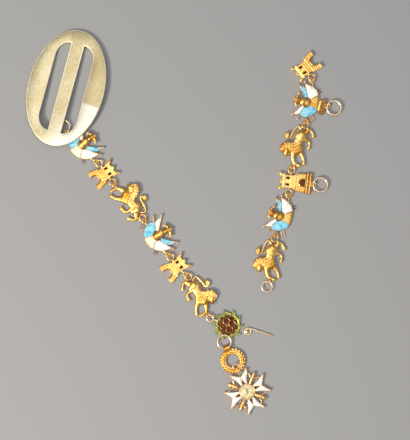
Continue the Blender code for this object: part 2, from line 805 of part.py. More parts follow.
def pin():
    # A dress pin: one and a half coils for a head, then a straight tapering shaft
    rows = []
    lean = radians(PIN_TURN)
    steps = 16
    for i in range(steps + 1):
        share = i / steps
        turn = lean + 2 * pi * 1.5 * (1 - share) + pi / 2
        far = (PIN_COIL - PIN_WIRE) / 2 - (1 - share) * 0.75
        lift = PIN_WIRE / 2 + max(0.0, 0.62 - share) * PIN_WIRE
        rows.append((far * cos(turn), far * sin(turn), lift, PIN_WIRE / 2, PIN_WIRE / 2))
    start_x, start_y = rows[-1][:2]
    for run, wide in ((0.6, 1.0), (0.85, 0.8), (1.0, 0.15)):
        x = start_x + PIN_SHAFT * run * cos(lean)
        y = start_y + PIN_SHAFT * run * sin(lean)
        rows.append((x, y, PIN_WIRE / 2, PIN_WIRE / 2 * wide, PIN_WIRE / 2 * wide))
    return fused("pin", [tube(rows, 1, 5)])


def put(name, mesh, x, y, z, turn, material):
    made = bpy.data.objects.new(name, mesh)
    bpy.context.scene.collection.objects.link(made)
    made.location = (x * MM, y * MM, z * MM)
    made.rotation_euler = (0, 0, radians(turn))
    made.parent = chain
    if not mesh.materials:
        mesh.materials.append(material)
    return made


def put_ring(name, centre, radius, wire):
    body = hoop((0, 0, 0), radius, wire, around=14)
    put(name, fused(name, [body]), centre[0], centre[1], centre[2], 0, wire_gold)


def hold_point(link, across, up, x=0.0, y=0.0):
    # World place of a point of a link's drawing, for a link at x, y
    grid = grids[link.kind.split("_")[0]]
    turn = radians(link.heading - 90)
    step_x = link.side * across * grid
    step_y = up * grid
    far_x = x + step_x * cos(turn) - step_y * sin(turn)
    far_y = y + step_x * sin(turn) + step_y * cos(turn)
    return Vector((far_x, far_y))


def lay(links, start):
    # Lays a stretch link by link from each one's hold to the next
    spot = Vector(start)
    places = {}
    for i, link in enumerate(links):
        if i:
            spot = end - hold_point(link, link.into.across, link.into.up)
        places[link.name] = (link, spot.x, spot.y)
        put(link.name, meshes[link.kind], spot.x, spot.y, 0, link.heading - 90, gold)
        end = hold_point(link, link.out.across, link.out.up, spot.x, spot.y)
    return places, end


def lay_pendant(end):
    # The medallion's ring holds the last loop. The wreath's bail hangs on the pendant
    # ring, the star under the wreath, and the pin lies with its head at the medallion
    held = medallion_hold()
    medal_x = end.x - held.across
    medal_y = end.y - held.up
    put("medallion", medallion(), medal_x, medal_y, 0, 0, gold)
    ring_x, ring_y = pendant_ring_place()
    axis = radians(PENDANT_TURN)
    reach = PENDANT_RING_RADIUS + BAIL_UP - 0.1
    x = medal_x + ring_x + reach * cos(axis)
    y = medal_y + ring_y + reach * sin(axis)
    put("wreath", wreath(), x, y, 0, PENDANT_TURN + 90, gold)
    drop = SHANK_UP - STAPLE_UP
    x += drop * cos(axis)
    y += drop * sin(axis)
    put("star", star(), x, y, 0, PENDANT_TURN + 90, gold)
    lean = radians(PIN_TURN)
    head = MEDALLION_ACROSS / 2 + 1.5 + GAP + PIN_COIL / 2
    x = medal_x + head * cos(lean)
    y = medal_y + head * sin(lean)
    put("pin", pin(), x, y, 0, 0, wire_gold)


def hang_big_ring(name, placed, eye):
    # A large ring that lies in the eye of a plinth
    link, x, y = placed
    spot = big_ring_place(eye, grids[link.kind.split("_")[0]])
    spot.rotate(Matrix.Rotation(radians(link.heading - 90), 3, "Z"))
    put_ring(name, (x + spot.x, y + spot.y, spot.z), BIG_RING_RADIUS, BIG_RING_WIRE)


def thread_ring(name, placed, hold, radius, wire):
    # A ring that lies through a link's outermost loop, in place of a neighbour's ring
    link, x, y = placed
    tip = hold_point(link, hold.across, hold.up, x, y)
    foot = hold_point(link, hold.foot_across, hold.foot_up, x, y)
    centre = tip + (tip - foot).normalized() * (radius - RING_RADIUS)
    put_ring(name, (centre.x, centre.y, RING_HEIGHT), radius, wire)


def lay_buckle():
    # The buckle leans on its ring's side, and its lowest edge meets the table
    plate = put("buckle", buckle(), 0, 0, 0, 0, gilt)
    towards = radians(TILT_TOWARDS)
    tilt_axis = Vector((sin(towards), -cos(towards), 0))
    lean_turn = Matrix.Rotation(radians(-BUCKLE_LEAN), 3, "Z")
    full_turn = Matrix.Rotation(radians(BUCKLE_TILT), 3, tilt_axis) @ lean_turn
    plate.rotation_euler = full_turn.to_euler()
    plate.location.z = -min((full_turn @ vert.co).z for vert in plate.data.vertices)


def centre_chain():
    # The origin is at the middle of the footprint, on the table
    bpy.context.view_layer.update()
    corners = []
    for made in chain.children:
        corners += [made.matrix_world @ vert.co for vert in made.data.vertices]
    middle_x = (min(c.x for c in corners) + max(c.x for c in corners)) / 2
    middle_y = (min(c.y for c in corners) + max(c.y for c in corners)) / 2
    chain.location = (-middle_x, -middle_y, -min(c.z for c in corners))


start_scene()
gold = metal("cast_gold", 0.86, 0.56, 0.2, 0.3)
gilt = metal("pale_gilt", 0.83, 0.75, 0.55, 0.35)
wire_gold = metal("gold_wire", 0.85, 0.55, 0.28, 0.25)

meshes = {
    "castle": castle((CASTLE_LEFT, CASTLE_RIGHT), ()),
    "castle_end": castle((CASTLE_LEFT,), ()),
    "castle_stem": castle((CASTLE_LEFT,), (CASTLE_STEM,)),
    "castle_plinth": castle_on_plinth(),
    "trophy": trophy(),
    "trophy_plinth": trophy_on_plinth(),
    "lion": lion(-1),
    "lion_turned": lion(1),
}
grids = {"castle": CASTLE_GRID, "trophy": TROPHY_GRID, "lion": LION_GRID}

chain = bpy.data.objects.new("chain", None)
bpy.context.scene.collection.objects.link(chain)
left, left_end = lay(LEFT_STRETCH, LEFT_START)
right, right_end = lay(RIGHT_STRETCH, RIGHT_START)
lay_pendant(left_end)
hang_big_ring("trophy_3_ring", right["trophy_3"], TROPHY_PLINTH_EYE)
hang_big_ring("castle_4_ring", right["castle_4"], CASTLE_PLINTH_EYE)
thread_ring("end_ring", right["lion_4"], LION_PAW, END_RING_RADIUS, END_RING_WIRE)
thread_ring("buckle_ring", left["trophy_1"], TROPHY_LEFT, BIG_RING_RADIUS, RING_WIRE)
lay_buckle()
centre_chain()
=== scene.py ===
from math import cos, hypot, pi, radians, sin

import bmesh
import bpy
from mathutils import Matrix, Vector
from mathutils.bvhtree import BVHTree


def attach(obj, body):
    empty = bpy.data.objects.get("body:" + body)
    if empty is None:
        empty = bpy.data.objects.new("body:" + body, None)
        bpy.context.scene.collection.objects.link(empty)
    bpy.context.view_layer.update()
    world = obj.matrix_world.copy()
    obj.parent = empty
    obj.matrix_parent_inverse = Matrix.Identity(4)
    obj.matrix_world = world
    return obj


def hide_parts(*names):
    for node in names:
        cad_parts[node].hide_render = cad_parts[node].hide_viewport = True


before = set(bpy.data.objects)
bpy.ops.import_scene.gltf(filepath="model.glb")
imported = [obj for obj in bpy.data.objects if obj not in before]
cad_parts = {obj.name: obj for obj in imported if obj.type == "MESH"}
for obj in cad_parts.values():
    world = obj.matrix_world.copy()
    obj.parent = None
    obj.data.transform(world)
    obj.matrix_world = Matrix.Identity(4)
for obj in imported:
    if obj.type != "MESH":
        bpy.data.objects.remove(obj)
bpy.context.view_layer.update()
mm = 0.001
grid = 0.42  # the drawings of the links count in steps of this many mm
lift = 0.11  # the links' backs lie this far over the table, mm
thinnest = 0.01  # the least half width of a swept bar, mm
sharpTurn = 40  # edges that turn more than this stay crisp, degrees
up = Vector((0, 0, 1))


# Tools for the meshes: everything is drawn in mm, then set down in metres

def eased(rows, steps):
    # Rows between the given ones, on a smooth curve through them
    if steps < 2:
        return [tuple(row) for row in rows]
    out = []
    for i in range(len(rows) - 1):
        before = rows[max(i - 1, 0)]
        after = rows[min(i + 2, len(rows) - 1)]
        for k in range(steps):
            t = k / steps
            row = []
            for b, h, n, a in zip(before, rows[i], rows[i + 1], after):
                bend = (2 * b - 5 * h + 4 * n - a) * t * t + (3 * h - b - 3 * n + a) * t ** 3
                row.append(0.5 * (2 * h + (n - b) * t + bend))
            out.append(tuple(row))
    out.append(tuple(rows[-1]))
    return out


def joined(bm, part, place=None, level=False):
    # Moves a part into a bigger mesh. The level faces of a sheet stay flat, all others are smooth
    bmesh.ops.recalc_face_normals(part, faces=part.faces)
    part.normal_update()
    for face in part.faces:
        face.smooth = not (level and abs(face.normal.z) > 0.999)
    mesh = bpy.data.meshes.new("part")
    part.to_mesh(mesh)
    part.free()
    if place is not None:
        mesh.transform(place)
    bm.from_mesh(mesh)
    bpy.data.meshes.remove(mesh)


def rod(bm, rows, step=1.0, sides=8, steps=1):
    # A swept bar. Rows: across, up (in steps), height (mm), half width (steps), half thickness (mm)
    rows = eased(rows, steps)
    spots = [Vector((row[0] * step, row[1] * step, row[2])) for row in rows]
    part = bmesh.new()
    loop = bmesh.ops.create_circle(part, cap_ends=True, radius=1, segments=sides)["verts"]
    shape = [vert.co.copy() for vert in loop]
    for i, row in enumerate(rows):
        run = (spots[min(i + 1, len(rows) - 1)] - spots[max(i - 1, 0)]).normalized()
        side = run.cross(up)
        side = side.normalized() if side.length > 1e-6 else Vector((1, 0, 0))
        over = side.cross(run)
        if i:
            edges = [part.edges.get((loop[k], loop[k - 1])) for k in range(sides)]
            fresh = bmesh.ops.extrude_edge_only(part, edges=edges)["geom"]
            fresh = {v for v in fresh if isinstance(v, bmesh.types.BMVert)}
            loop = [next(e.other_vert(v) for e in v.link_edges if e.other_vert(v) in fresh) for v in loop]
        wide = max(row[3] * step, thinnest)
        thick = max(row[4], thinnest)
        for vert, spot in zip(loop, shape):
            vert.co = spots[i] + side * spot.x * wide + over * spot.y * thick
    edges = [part.edges.get((loop[k], loop[k - 1])) for k in range(sides)]
    bmesh.ops.edgeloop_fill(part, edges=edges)
    joined(bm, part)


def ring(bm, centre, radius, wire, towards=None, around=40, sides=12, flat=1.0):
    # A round ring: flat on the table, or upright in the plane that runs towards a direction
    part = bmesh.new()
    loop = bmesh.ops.create_circle(part, radius=wire / 2, segments=sides)["verts"]
    bmesh.ops.scale(part, vec=(1, flat, 1), verts=loop)
    bmesh.ops.rotate(part, verts=loop, cent=(0, 0, 0), matrix=Matrix.Rotation(pi / 2, 3, "X"))
    bmesh.ops.translate(part, verts=loop, vec=(radius, 0, 0))
    bmesh.ops.spin(part, geom=part.verts[:] + part.edges[:], cent=(0, 0, 0), axis=up,
                   angle=2 * pi, steps=around, use_merge=True)
    turn = Matrix.Identity(4)
    if towards is not None:
        turn = Vector((towards[0], towards[1], 0)).to_track_quat("X", "Y").to_matrix().to_4x4()
        turn = turn @ Matrix.Rotation(pi / 2, 4, "X")
    joined(bm, part, Matrix.Translation(centre) @ turn)


def ball(bm, centre, radius, stretch=(1, 1, 1), turn=0.0):
    part = bmesh.new()
    bmesh.ops.create_icosphere(part, subdivisions=3, radius=radius)
    place = Matrix.Translation(centre) @ Matrix.Rotation(turn, 4, "Z")
    joined(bm, part, place @ Matrix.Diagonal((*stretch, 1)))


def thickened(part, high):
    # Gives an open sheet its other face, level at a height
    raised = bmesh.ops.extrude_face_region(part, geom=part.faces[:])["geom"]
    for vert in [v for v in raised if isinstance(v, bmesh.types.BMVert)]:
        vert.co.z = high


def plate(bm, outlines, low, high, edge=0.0, step=1.0, segments=2):
    # A flat sheet from one outline and any holes, with its upper edges rounded
    part = bmesh.new()
    for outline in outlines:
        verts = [part.verts.new((x * step, y * step, low)) for x, y in outline]
        for i, vert in enumerate(verts):
            part.edges.new((verts[i - 1], vert))
    bmesh.ops.triangle_fill(part, use_beauty=True, edges=part.edges[:])
    thickened(part, high)
    bmesh.ops.recalc_face_normals(part, faces=part.faces)
    if edge:
        rim = [e for e in part.edges if all(v.co.z > high - 1e-5 for v in e.verts)
               and abs(e.calc_face_angle(0)) > 1]
        bmesh.ops.bevel(part, geom=rim, offset=edge, affect="EDGES", segments=segments,
                        profile=0.5, material=-1, clamp_overlap=True)
    joined(bm, part, level=True)


def slab(bm, across, high, wide, long, low, top, edge=0.08, step=1.0):
    # A small block with rounded upper edges
    corners = ((-1, -1), (1, -1), (1, 1), (-1, 1))
    outline = [(across + i * wide / 2, high + j * long / 2) for i, j in corners]
    plate(bm, [outline], low, top, edge, step)


def oval(wide, long, count):
    # A round or oval outline, from its half width and half length
    turns = [2 * pi * i / count for i in range(count)]
    return [(wide * cos(turn), long * sin(turn)) for turn in turns]


def polar(far, turn):
    return far * cos(radians(turn)), far * sin(radians(turn))


def along(points, share):
    # A place on a line of points, by its share of the whole length
    reach = [hypot(b[0] - a[0], b[1] - a[1]) for a, b in zip(points, points[1:])]
    want = share * sum(reach)
    for (a, b), long in zip(zip(points, points[1:]), reach):
        if want <= long or b is points[-1]:
            t = min(want / max(long, 1e-9), 1)
            return Vector((a[0] + (b[0] - a[0]) * t, a[1] + (b[1] - a[1]) * t))
        want -= long


def fused(bm, cell, passes):
    # Runs separate shapes together as one casting
    mesh = bpy.data.meshes.new("casting")
    bm.to_mesh(mesh)
    bm.free()
    made = bpy.data.objects.new("casting", mesh)
    bpy.context.scene.collection.objects.link(made)
    melt = made.modifiers.new("melt", "REMESH")
    melt.mode = "VOXEL"
    melt.voxel_size = cell
    melt.adaptivity = 0
    bpy.context.view_layer.update()
    shape = bpy.data.meshes.new_from_object(made.evaluated_get(bpy.context.evaluated_depsgraph_get()))
    bpy.data.objects.remove(made, do_unlink=True)
    out = bmesh.new()
    out.from_mesh(shape)
    bpy.data.meshes.remove(shape)
    for _ in range(passes):
        bmesh.ops.smooth_vert(out, verts=out.verts, factor=0.5,
                              use_axis_x=True, use_axis_y=True, use_axis_z=True)
    for face in out.faces:
        face.smooth = True
    return out


def setDown(bm, name, material, slotName, place, replaced=None):
    # Puts a finished drawing on the table, in metres, and gives it to the frame
    bmesh.ops.transform(bm, matrix=Matrix.Scale(mm, 4) @ place, verts=bm.verts)
    mesh = bpy.data.meshes.new(name)
    bm.to_mesh(mesh)
    bm.free()
    mesh.set_sharp_from_angle(angle=radians(sharpTurn))
    mesh.materials.append(material)
    made = bpy.data.objects.new(name, mesh)
    bpy.context.scene.collection.objects.link(made)
    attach(made, "root")
    if replaced:
        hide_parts(replaced)
    return made


def lay(x, y, turn, z=lift):
    # A place on the table
    return Matrix.Translation((x, y, z)) @ Matrix.Rotation(radians(turn), 4, "Z")


# Materials

def linear(code):
    out = []
    for i in (1, 3, 5):
        c = int(code[i:i + 2], 16) / 255
        out.append(c / 12.92 if c <= 0.04045 else ((c + 0.055) / 1.055) ** 2.4)
    return (*out, 1.0)


def addNode(tree, kind, settings=None, links=None):
    node = tree.nodes.new(kind)
    for name, value in (settings or {}).items():
        if isinstance(name, int) or name in node.inputs:
            node.inputs[name].default_value = value
        else:
            setattr(node, name, value)
    for name, source in (links or {}).items():
        tree.links.new(source, node.inputs[name])
    return node


def ramp(tree, source, stops):
    node = addNode(tree, "ShaderNodeValToRGB", links={"Fac": source})
    for i, (spot, colour) in enumerate(stops):
        stop = node.color_ramp.elements[i] if i < 2 else node.color_ramp.elements.new(spot)
        stop.position = spot
        stop.color = colour if len(colour) == 4 else (*colour, 1)
    return node.outputs["Color"]


def newMaterial(name, settings):
    material = bpy.data.materials.new(name)
    material.use_nodes = True
    tree = material.node_tree
    shader = tree.nodes["Principled BSDF"]
    for socket, value in settings.items():
        shader.inputs[socket].default_value = value
    place = tree.nodes.new("ShaderNodeTexCoord").outputs["Object"]
    return material, tree, shader, place


def feed(tree, node, values):
    # Links each value to the socket with its number, or sets it there where it is plain
    for name, value in values.items():
        if isinstance(value, bpy.types.NodeSocket):
            tree.links.new(value, node.inputs[name])
        else:
            node.inputs[name].default_value = value


def noise(tree, place, size, detail, rough=0.5):
    # A grain of so many mm
    settings = {"Scale": 1000 / size, "Detail": detail, "Roughness": rough}
    return addNode(tree, "ShaderNodeTexNoise", settings, {"Vector": place}).outputs["Fac"]


def mix(tree, share, first, second, blend="MIX"):
    node = addNode(tree, "ShaderNodeMix", {"data_type": "RGBA", "blend_type": blend})
    feed(tree, node, {0: share, 6: first, 7: second})
    return node.outputs[2]


def multiplyAdd(tree, source, by, plus):
    node = addNode(tree, "ShaderNodeMath", {"operation": "MULTIPLY_ADD"})
    feed(tree, node, {0: source, 1: by, 2: plus})
    return node.outputs[0]


def bump(tree, height, strength, deep, under=None):
    # Relief so many mm deep, over any relief under it
    links = {"Height": height} | ({"Normal": under} if under else {})
    settings = {"Strength": strength, "Distance": deep * mm}
    return addNode(tree, "ShaderNodeBump", settings, links).outputs["Normal"]


def recessShadeMask(tree, reach, stops):
    # What lies in a recess, within so many mm: the mask for the painted shade there
    node = addNode(tree, "ShaderNodeAmbientOcclusion", {"Distance": reach * mm, "samples": 6})
    return ramp(tree, node.outputs["AO"], stops)


def coat(tree, shader, values):
    # What the shader takes from the nodes
    for name, source in values.items():
        tree.links.new(source, shader.inputs[name])


def goldMaterial(name, look):
    # Gilt metal: bright on what hands rub, and darkened brown in every recess, partly by tarnish and partly
    # by painted shade
    material, tree, shader, place = newMaterial(name, {"Metallic": 1.0})
    grain = noise(tree, place, look["grain"], 2.0)
    cloud = noise(tree, place, look["cloud"], 3.0)
    tone = ramp(tree, cloud, ((0.32, linear(look["deep"])), (0.68, linear(look["light"]))))
    # Painted shade with tarnish: recesses darken to one brown
    tarnishShade = recessShadeMask(tree, look["reach"], ((look["tarnishShadeFrom"], (1, 1, 1)), (look["tarnishShadeTo"], (0, 0, 0))))
    rough = multiplyAdd(tree, grain, 0.22, look["rough"] - 0.11)
    dent = bump(tree, grain, look["dent"], 0.03)
    coat(tree, shader, {
        "Base Color": mix(tree, tarnishShade, tone, linear(look["tarnishShadeColour"])),
        "Roughness": multiplyAdd(tree, tarnishShade, 0.3, rough),
        "Normal": bump(tree, noise(tree, place, look["wave"], 1.0), look["swell"], 0.1, dent),
    })
    return material


# The tarnish colour also serves as the painted shade in the recesses
castLook = {
    "deep": "#DFA24A", "light": "#FAD082", "tarnishShadeColour": "#5E3508",
    "cloud": 5.0, "grain": 0.16, "wave": 0.7, "reach": 0.7,
    "tarnishShadeFrom": 0.3, "tarnishShadeTo": 0.8, "rough": 0.32, "dent": 0.5, "swell": 0.5,
}
wireLook = {
    "deep": "#F5C894", "light": "#FFE8C6", "tarnishShadeColour": "#6A4012",
    "cloud": 6.0, "grain": 0.3, "wave": 1.4, "reach": 0.4,
    "tarnishShadeFrom": 0.1, "tarnishShadeTo": 0.62, "rough": 0.27, "dent": 0.15, "swell": 0.2,
}
# The medallion's rim has a thin green glaze, and the star is redder.
# The lions are tooled at the mane, and behind it their hide is painted lighter as a highlight
oliveLook = castLook | {"deep": "#A69A3A", "light": "#E2D27C", "cloud": 1.6, "rough": 0.36}
copperLook = wireLook | {"deep": "#A87448", "light": "#D0A074", "rough": 0.42}
warmLook = castLook | {"deep": "#E3A564", "light": "#FFDAA2", "tarnishShadeFrom": 0.15, "tarnishShadeTo": 0.7}
maneLook = castLook | {"deep": "#DD9838", "light": "#FFCE78", "tarnishShadeColour": "#7A4A10",
                       "tarnishShadeFrom": 0.2, "tarnishShadeTo": 0.72}
hideHighlightLook = castLook | {"deep": "#ECAC48", "light": "#FFD688", "tarnishShadeColour": "#8A5414",
                       "tarnishShadeFrom": 0.15, "tarnishShadeTo": 0.65}
castGold = goldMaterial("cast gilt, chased", castLook)
maneGold = goldMaterial("cast gilt, tooled and bright", maneLook)
hideHighlightGold = goldMaterial("cast gilt, smooth, painted highlight", hideHighlightLook)
warmGold = goldMaterial("cast gilt, reddish", warmLook)
oliveGold = goldMaterial("gilt under a thin green glaze", oliveLook)
copperWire = goldMaterial("reddish gilt wire, dull", copperLook)
wireGold = goldMaterial("drawn gilt wire", wireLook)


def brushedMaterial():
    # Pale gilt sheet: a satin champagne sheen, with a painted reflection that turns it nearly white across
    # its foot, and painted shade that darkens it towards the right
    look = {"light": "#DED2AE", "deep": "#CDBE92", "paintedReflection": "#DDD5C2", "paintedShadeSide": "#9A8452",
            "cloud": 9.0, "grain": 0.5, "brush": 14.85, "rough": 0.38,
            "edge": (-42.7 * mm, 50.3 * mm, 0), "turn": -20.0, "rim": -45.0 * mm,
            "softEdge": (-51.3 * mm, 43.0 * mm, 0), "softTurn": 50.0,
            "left": -60.0 * mm, "right": -36.0 * mm}
    material, tree, shader, place = newMaterial("pale gilt, brushed", {"Metallic": 1.0})
    turned = addNode(tree, "ShaderNodeMapping",
                     {"Rotation": (0, 0, radians(look["brush"])), "Scale": (1, 0.45, 1)}, {"Vector": place})
    cloud = noise(tree, place, look["cloud"], 4.0)
    grain = noise(tree, turned.outputs[0], look["grain"], 4.0, 0.7)
    tone = ramp(tree, cloud, ((0.3, linear(look["deep"])), (0.7, linear(look["light"]))))
    fleck = ramp(tree, grain, ((0.38, (0.6, 0.56, 0.47)), (0.6, (1, 1, 1))))
    # Painted shade: the sheet darkens towards its right rim
    across = addNode(tree, "ShaderNodeSeparateXYZ", links={0: place}).outputs["X"]
    side = addNode(tree, "ShaderNodeMapRange",
                   {"From Min": look["left"], "From Max": look["right"], "To Max": 0.36}, {"Value": across})
    shaded = mix(tree, side.outputs[0], mix(tree, 0.75, tone, fleck, "MULTIPLY"), linear(look["paintedShadeSide"]))

    def past(turn, spot, before, after):
        # How far a point lies past a slanting line, ragged with the grain
        slant = Vector((sin(radians(turn)), -cos(radians(turn)), 0))
        reach = addNode(tree, "ShaderNodeVectorMath", {"operation": "DOT_PRODUCT", 1: slant}, {0: place})
        ragged = multiplyAdd(tree, grain, 1.2 * mm, reach.outputs["Value"])
        start = slant.dot(Vector(spot)) + 0.6 * mm
        span = {"From Min": start - before * mm, "From Max": start + after * mm}
        return addNode(tree, "ShaderNodeMapRange", span, {"Value": ragged}).outputs[0]

    # The painted reflection's edge: soft on the left of the sheet, crisp on the right
    soft = past(look["softTurn"], look["softEdge"], 2.0, 4.5)
    crisp = past(look["turn"], look["edge"], 0.4, 0.5)
    onRim = addNode(tree, "ShaderNodeMath", {"operation": "GREATER_THAN", 1: look["rim"]}, {0: across})
    paintedReflection = addNode(tree, "ShaderNodeMix", {"data_type": "FLOAT"}, {0: onRim.outputs[0], 2: soft, 3: crisp})
    coat(tree, shader, {
        "Base Color": mix(tree, paintedReflection.outputs[0], shaded, linear(look["paintedReflection"])),
        "Roughness": multiplyAdd(tree, grain, 0.25, look["rough"] - 0.12),
        "Normal": bump(tree, grain, 0.3, 0.03),
    })
    return material


def enamelMaterial(name, light, deep, size, rough=0.12, wet=0.6, shine=0.5, shade=0.8):
    # Fired glass on metal: colour pools unevenly, under a smooth wet gloss, and painted shade darkens it in
    # recesses and near other parts
    gloss = {"Roughness": rough, "Coat Weight": wet, "Coat Roughness": 0.06, "Specular IOR Level": shine}
    material, tree, shader, place = newMaterial(name, gloss)
    tone = ramp(tree, noise(tree, place, size, 2.0), ((0.34, linear(deep)), (0.62, linear(light))))
    # Painted shade: the colour darkens where nearby surfaces close it in
    edge = recessShadeMask(tree, 0.5, ((0.2, (0.35, 0.3, 0.26)), (0.75, (1, 1, 1))))
    coat(tree, shader, {
        "Base Color": mix(tree, shade, tone, edge, "MULTIPLY"),
        "Normal": bump(tree, noise(tree, place, 1.1, 1.0), 0.25, 0.06),
    })
    return material


def highlightMaterial(name, deep, light):
    # Edges and knobs, painted pale and less metallic as a painted highlight, with fine scratches
    material, tree, shader, place = newMaterial(name, {"Metallic": 0.55, "Roughness": 0.5})
    tone = ramp(tree, noise(tree, place, 0.5, 3.0), ((0.35, linear(deep)), (0.6, linear(light))))
    coat(tree, shader, {"Base Color": tone})
    return material


paleGilt = brushedMaterial()
# Painted highlights for the buckle's edges and for the knobs and tips
edgeHighlight = highlightMaterial("pale gilt, painted edge highlight", "#E3D2A0", "#FFF8E4")
knobHighlight = highlightMaterial("cast gilt, painted knob highlight", "#D9A566", "#FFDDAE")
whiteEnamel = enamelMaterial("white enamel, opaque", "#FBFAF5", "#E6E6DF", 1.6)
blueEnamel = enamelMaterial("light blue enamel, translucent", "#8EDCEA", "#3FA6D4", 1.6)
greenEnamel = enamelMaterial("green enamel, translucent", "#98A445", "#50691A", 0.9, 0.2, 0.4)
# Painted shade: dark sheets in windows, slots and the medallion's middle
paintedShadeSheet = enamelMaterial("painted shade, dark and matt", "#6E4018", "#35190A", 1.2, 0.65, 0.0, 0.15)
# Painted highlight: the pale drapery
drapeHighlight = enamelMaterial("pale drapery, painted highlight", "#FFF9E6", "#F1DFA4", 1.2, 0.2, 0.5, shade=0.35)
creamEnamel = enamelMaterial("cream enamel, opaque", "#E6D8AE", "#BFAE7C", 1.1, 0.2, 0.3)
print("materials made")


# What every link carries: flat rings on lugs, and upright loops on stems

wires = {"ringAcross": 3.4, "ringWire": 0.65, "loopWire": 0.5, "gap": 0.3, "height": 1.17}
wires["ringRadius"] = (wires["ringAcross"] - wires["ringWire"]) / 2
wires["loopRadius"] = wires["ringWire"] / 2 + wires["gap"] + wires["loopWire"] / 2
bigRing = {"across": 6.7, "wire": 0.8, "eyeWire": 0.5}
bigRing["radius"] = (bigRing["across"] - bigRing["wire"]) / 2
bigRing["eye"] = bigRing["wire"] / 2 + wires["gap"] + bigRing["eyeWire"] / 2
bigRing["height"] = bigRing["eye"] + bigRing["eyeWire"] / 2 + 0.02

# Columns: across, up, foot across, foot up, in steps
holds = {
    "castleLeft": (-11.4, 2.9, -5.5, 2.9),
    "castleRight": (11.6, 2.8, 5.5, 2.8),
    "castleStem": (15.0, 5.0, 5.6, 3.2),
    "trophyLeft": (-21.9, -6.3, -13.6, -6.2),
    "trophyRight": (25.8, -0.6, 14.4, -4.8),
    "lionPaw": (28.0, 7.0, 20.4, 4.6),
    "lionRump": (-17.2, -5.5, -12.4, -9.2),
}


def flatRing(bm, hold, side=1, step=grid):
    # A ring that lies flat, soldered on by a short lug
    x, y, footX, footY = holds[hold] if isinstance(hold, str) else hold
    centre = Vector((side * x * step, y * step, wires["height"]))
    foot = Vector((side * footX * step, footY * step, wires["height"]))
    near = centre + (foot - centre).normalized() * wires["ringRadius"]
    ring(bm, centre, wires["ringRadius"], wires["ringWire"], around=32, sides=10)
    rod(bm, ((*near.xy, 1.05, 0.4, 0.28), (*((near + foot) / 2).xy, 0.95, 0.45, 0.34),
             (*foot.xy, 0.8, 0.7, 0.42)), sides=10, steps=3)


def wireLoop(bm, hold, side=1):
    # An upright loop on a stem, which passes through the next link's flat ring
    x, y, footX, footY = holds[hold]
    centre = Vector((side * x * grid, y * grid, wires["height"]))
    foot = Vector((side * footX * grid, footY * grid, wires["height"]))
    towards = (foot - centre).normalized()
    middle = centre + towards * wires["ringRadius"]
    stem = middle + towards * wires["loopRadius"]
    half = wires["loopWire"] / 2
    ring(bm, middle, wires["loopRadius"], wires["loopWire"], towards, around=28, sides=10)
    rod(bm, ((*stem.xy, wires["height"], half, half),
             (*((stem + foot) / 2).xy, 1.05, half * 1.05, half * 1.05),
             (*foot.xy, 0.85, half * 1.5, half * 1.4)), sides=10, steps=3)


def plinthEye(bm, edge, across):
    # The upright eye at a plinth's foot, for a larger ring
    middle = (across * grid, edge * grid - bigRing["eye"], bigRing["height"])
    ring(bm, middle, bigRing["eye"], bigRing["eyeWire"], (0, 1), around=28, sides=10)


def moulding(bm, high, half, end, full, sides):
    # A bar across a plinth, its ends rounded. End and full hold half width (steps) and half thickness (mm)
    rod(bm, ((-half, high, 0.75, *end), (0.4 - half, high, 0.75, *full), (half - 0.4, high, 0.75, *full),
             (half, high, 0.75, *end)), grid, sides)


# Castle: an ashlar tower with a gate, two windows and a crown of merlons

castleLook = {
    "plate": 1.3, "courses": (-10.9, -8.9, -6.9, -4.9, -0.4, 1.6, 3.6, 5.6, 7.0), "stone": 2.7,
    "windows": (3.3, 5.5, 2.1, 3.7), "joint": 0.15,
}
castleHalf = ((4.2, -12.7), (10.5, -12.3), (9.6, -8.4), (8.6, -4.4), (8.3, -3.8), (7.2, -1.8),
              (6.4, 0.6), (6.2, 4.2), (6.3, 7.5), (7.4, 8.3), (7.7, 9.8), (8.9, 14.5),
              (7.0, 14.1), (5.3, 13.3), (4.5, 10.7), (2.1, 10.6), (1.9, 12.6), (1.1, 13.2))
gateHalf = ((4.2, -9.6), (3.9, -8.2), (3.1, -7.0), (1.7, -6.1))
plinthHalf = ((9.4, -13.0), (9.2, -8.4), (8.9, -4.4), (8.3, -3.4), (7.2, -1.8))


def wallWidth(half, high):
    # Half width of the wall at a height
    for (x0, y0), (x1, y1) in zip(half, half[1:]):
        if y0 <= high <= y1 and x0 > 5:
            return x0 + (x1 - x0) * (high - y0) / max(y1 - y0, 1e-6)
    return 6.2


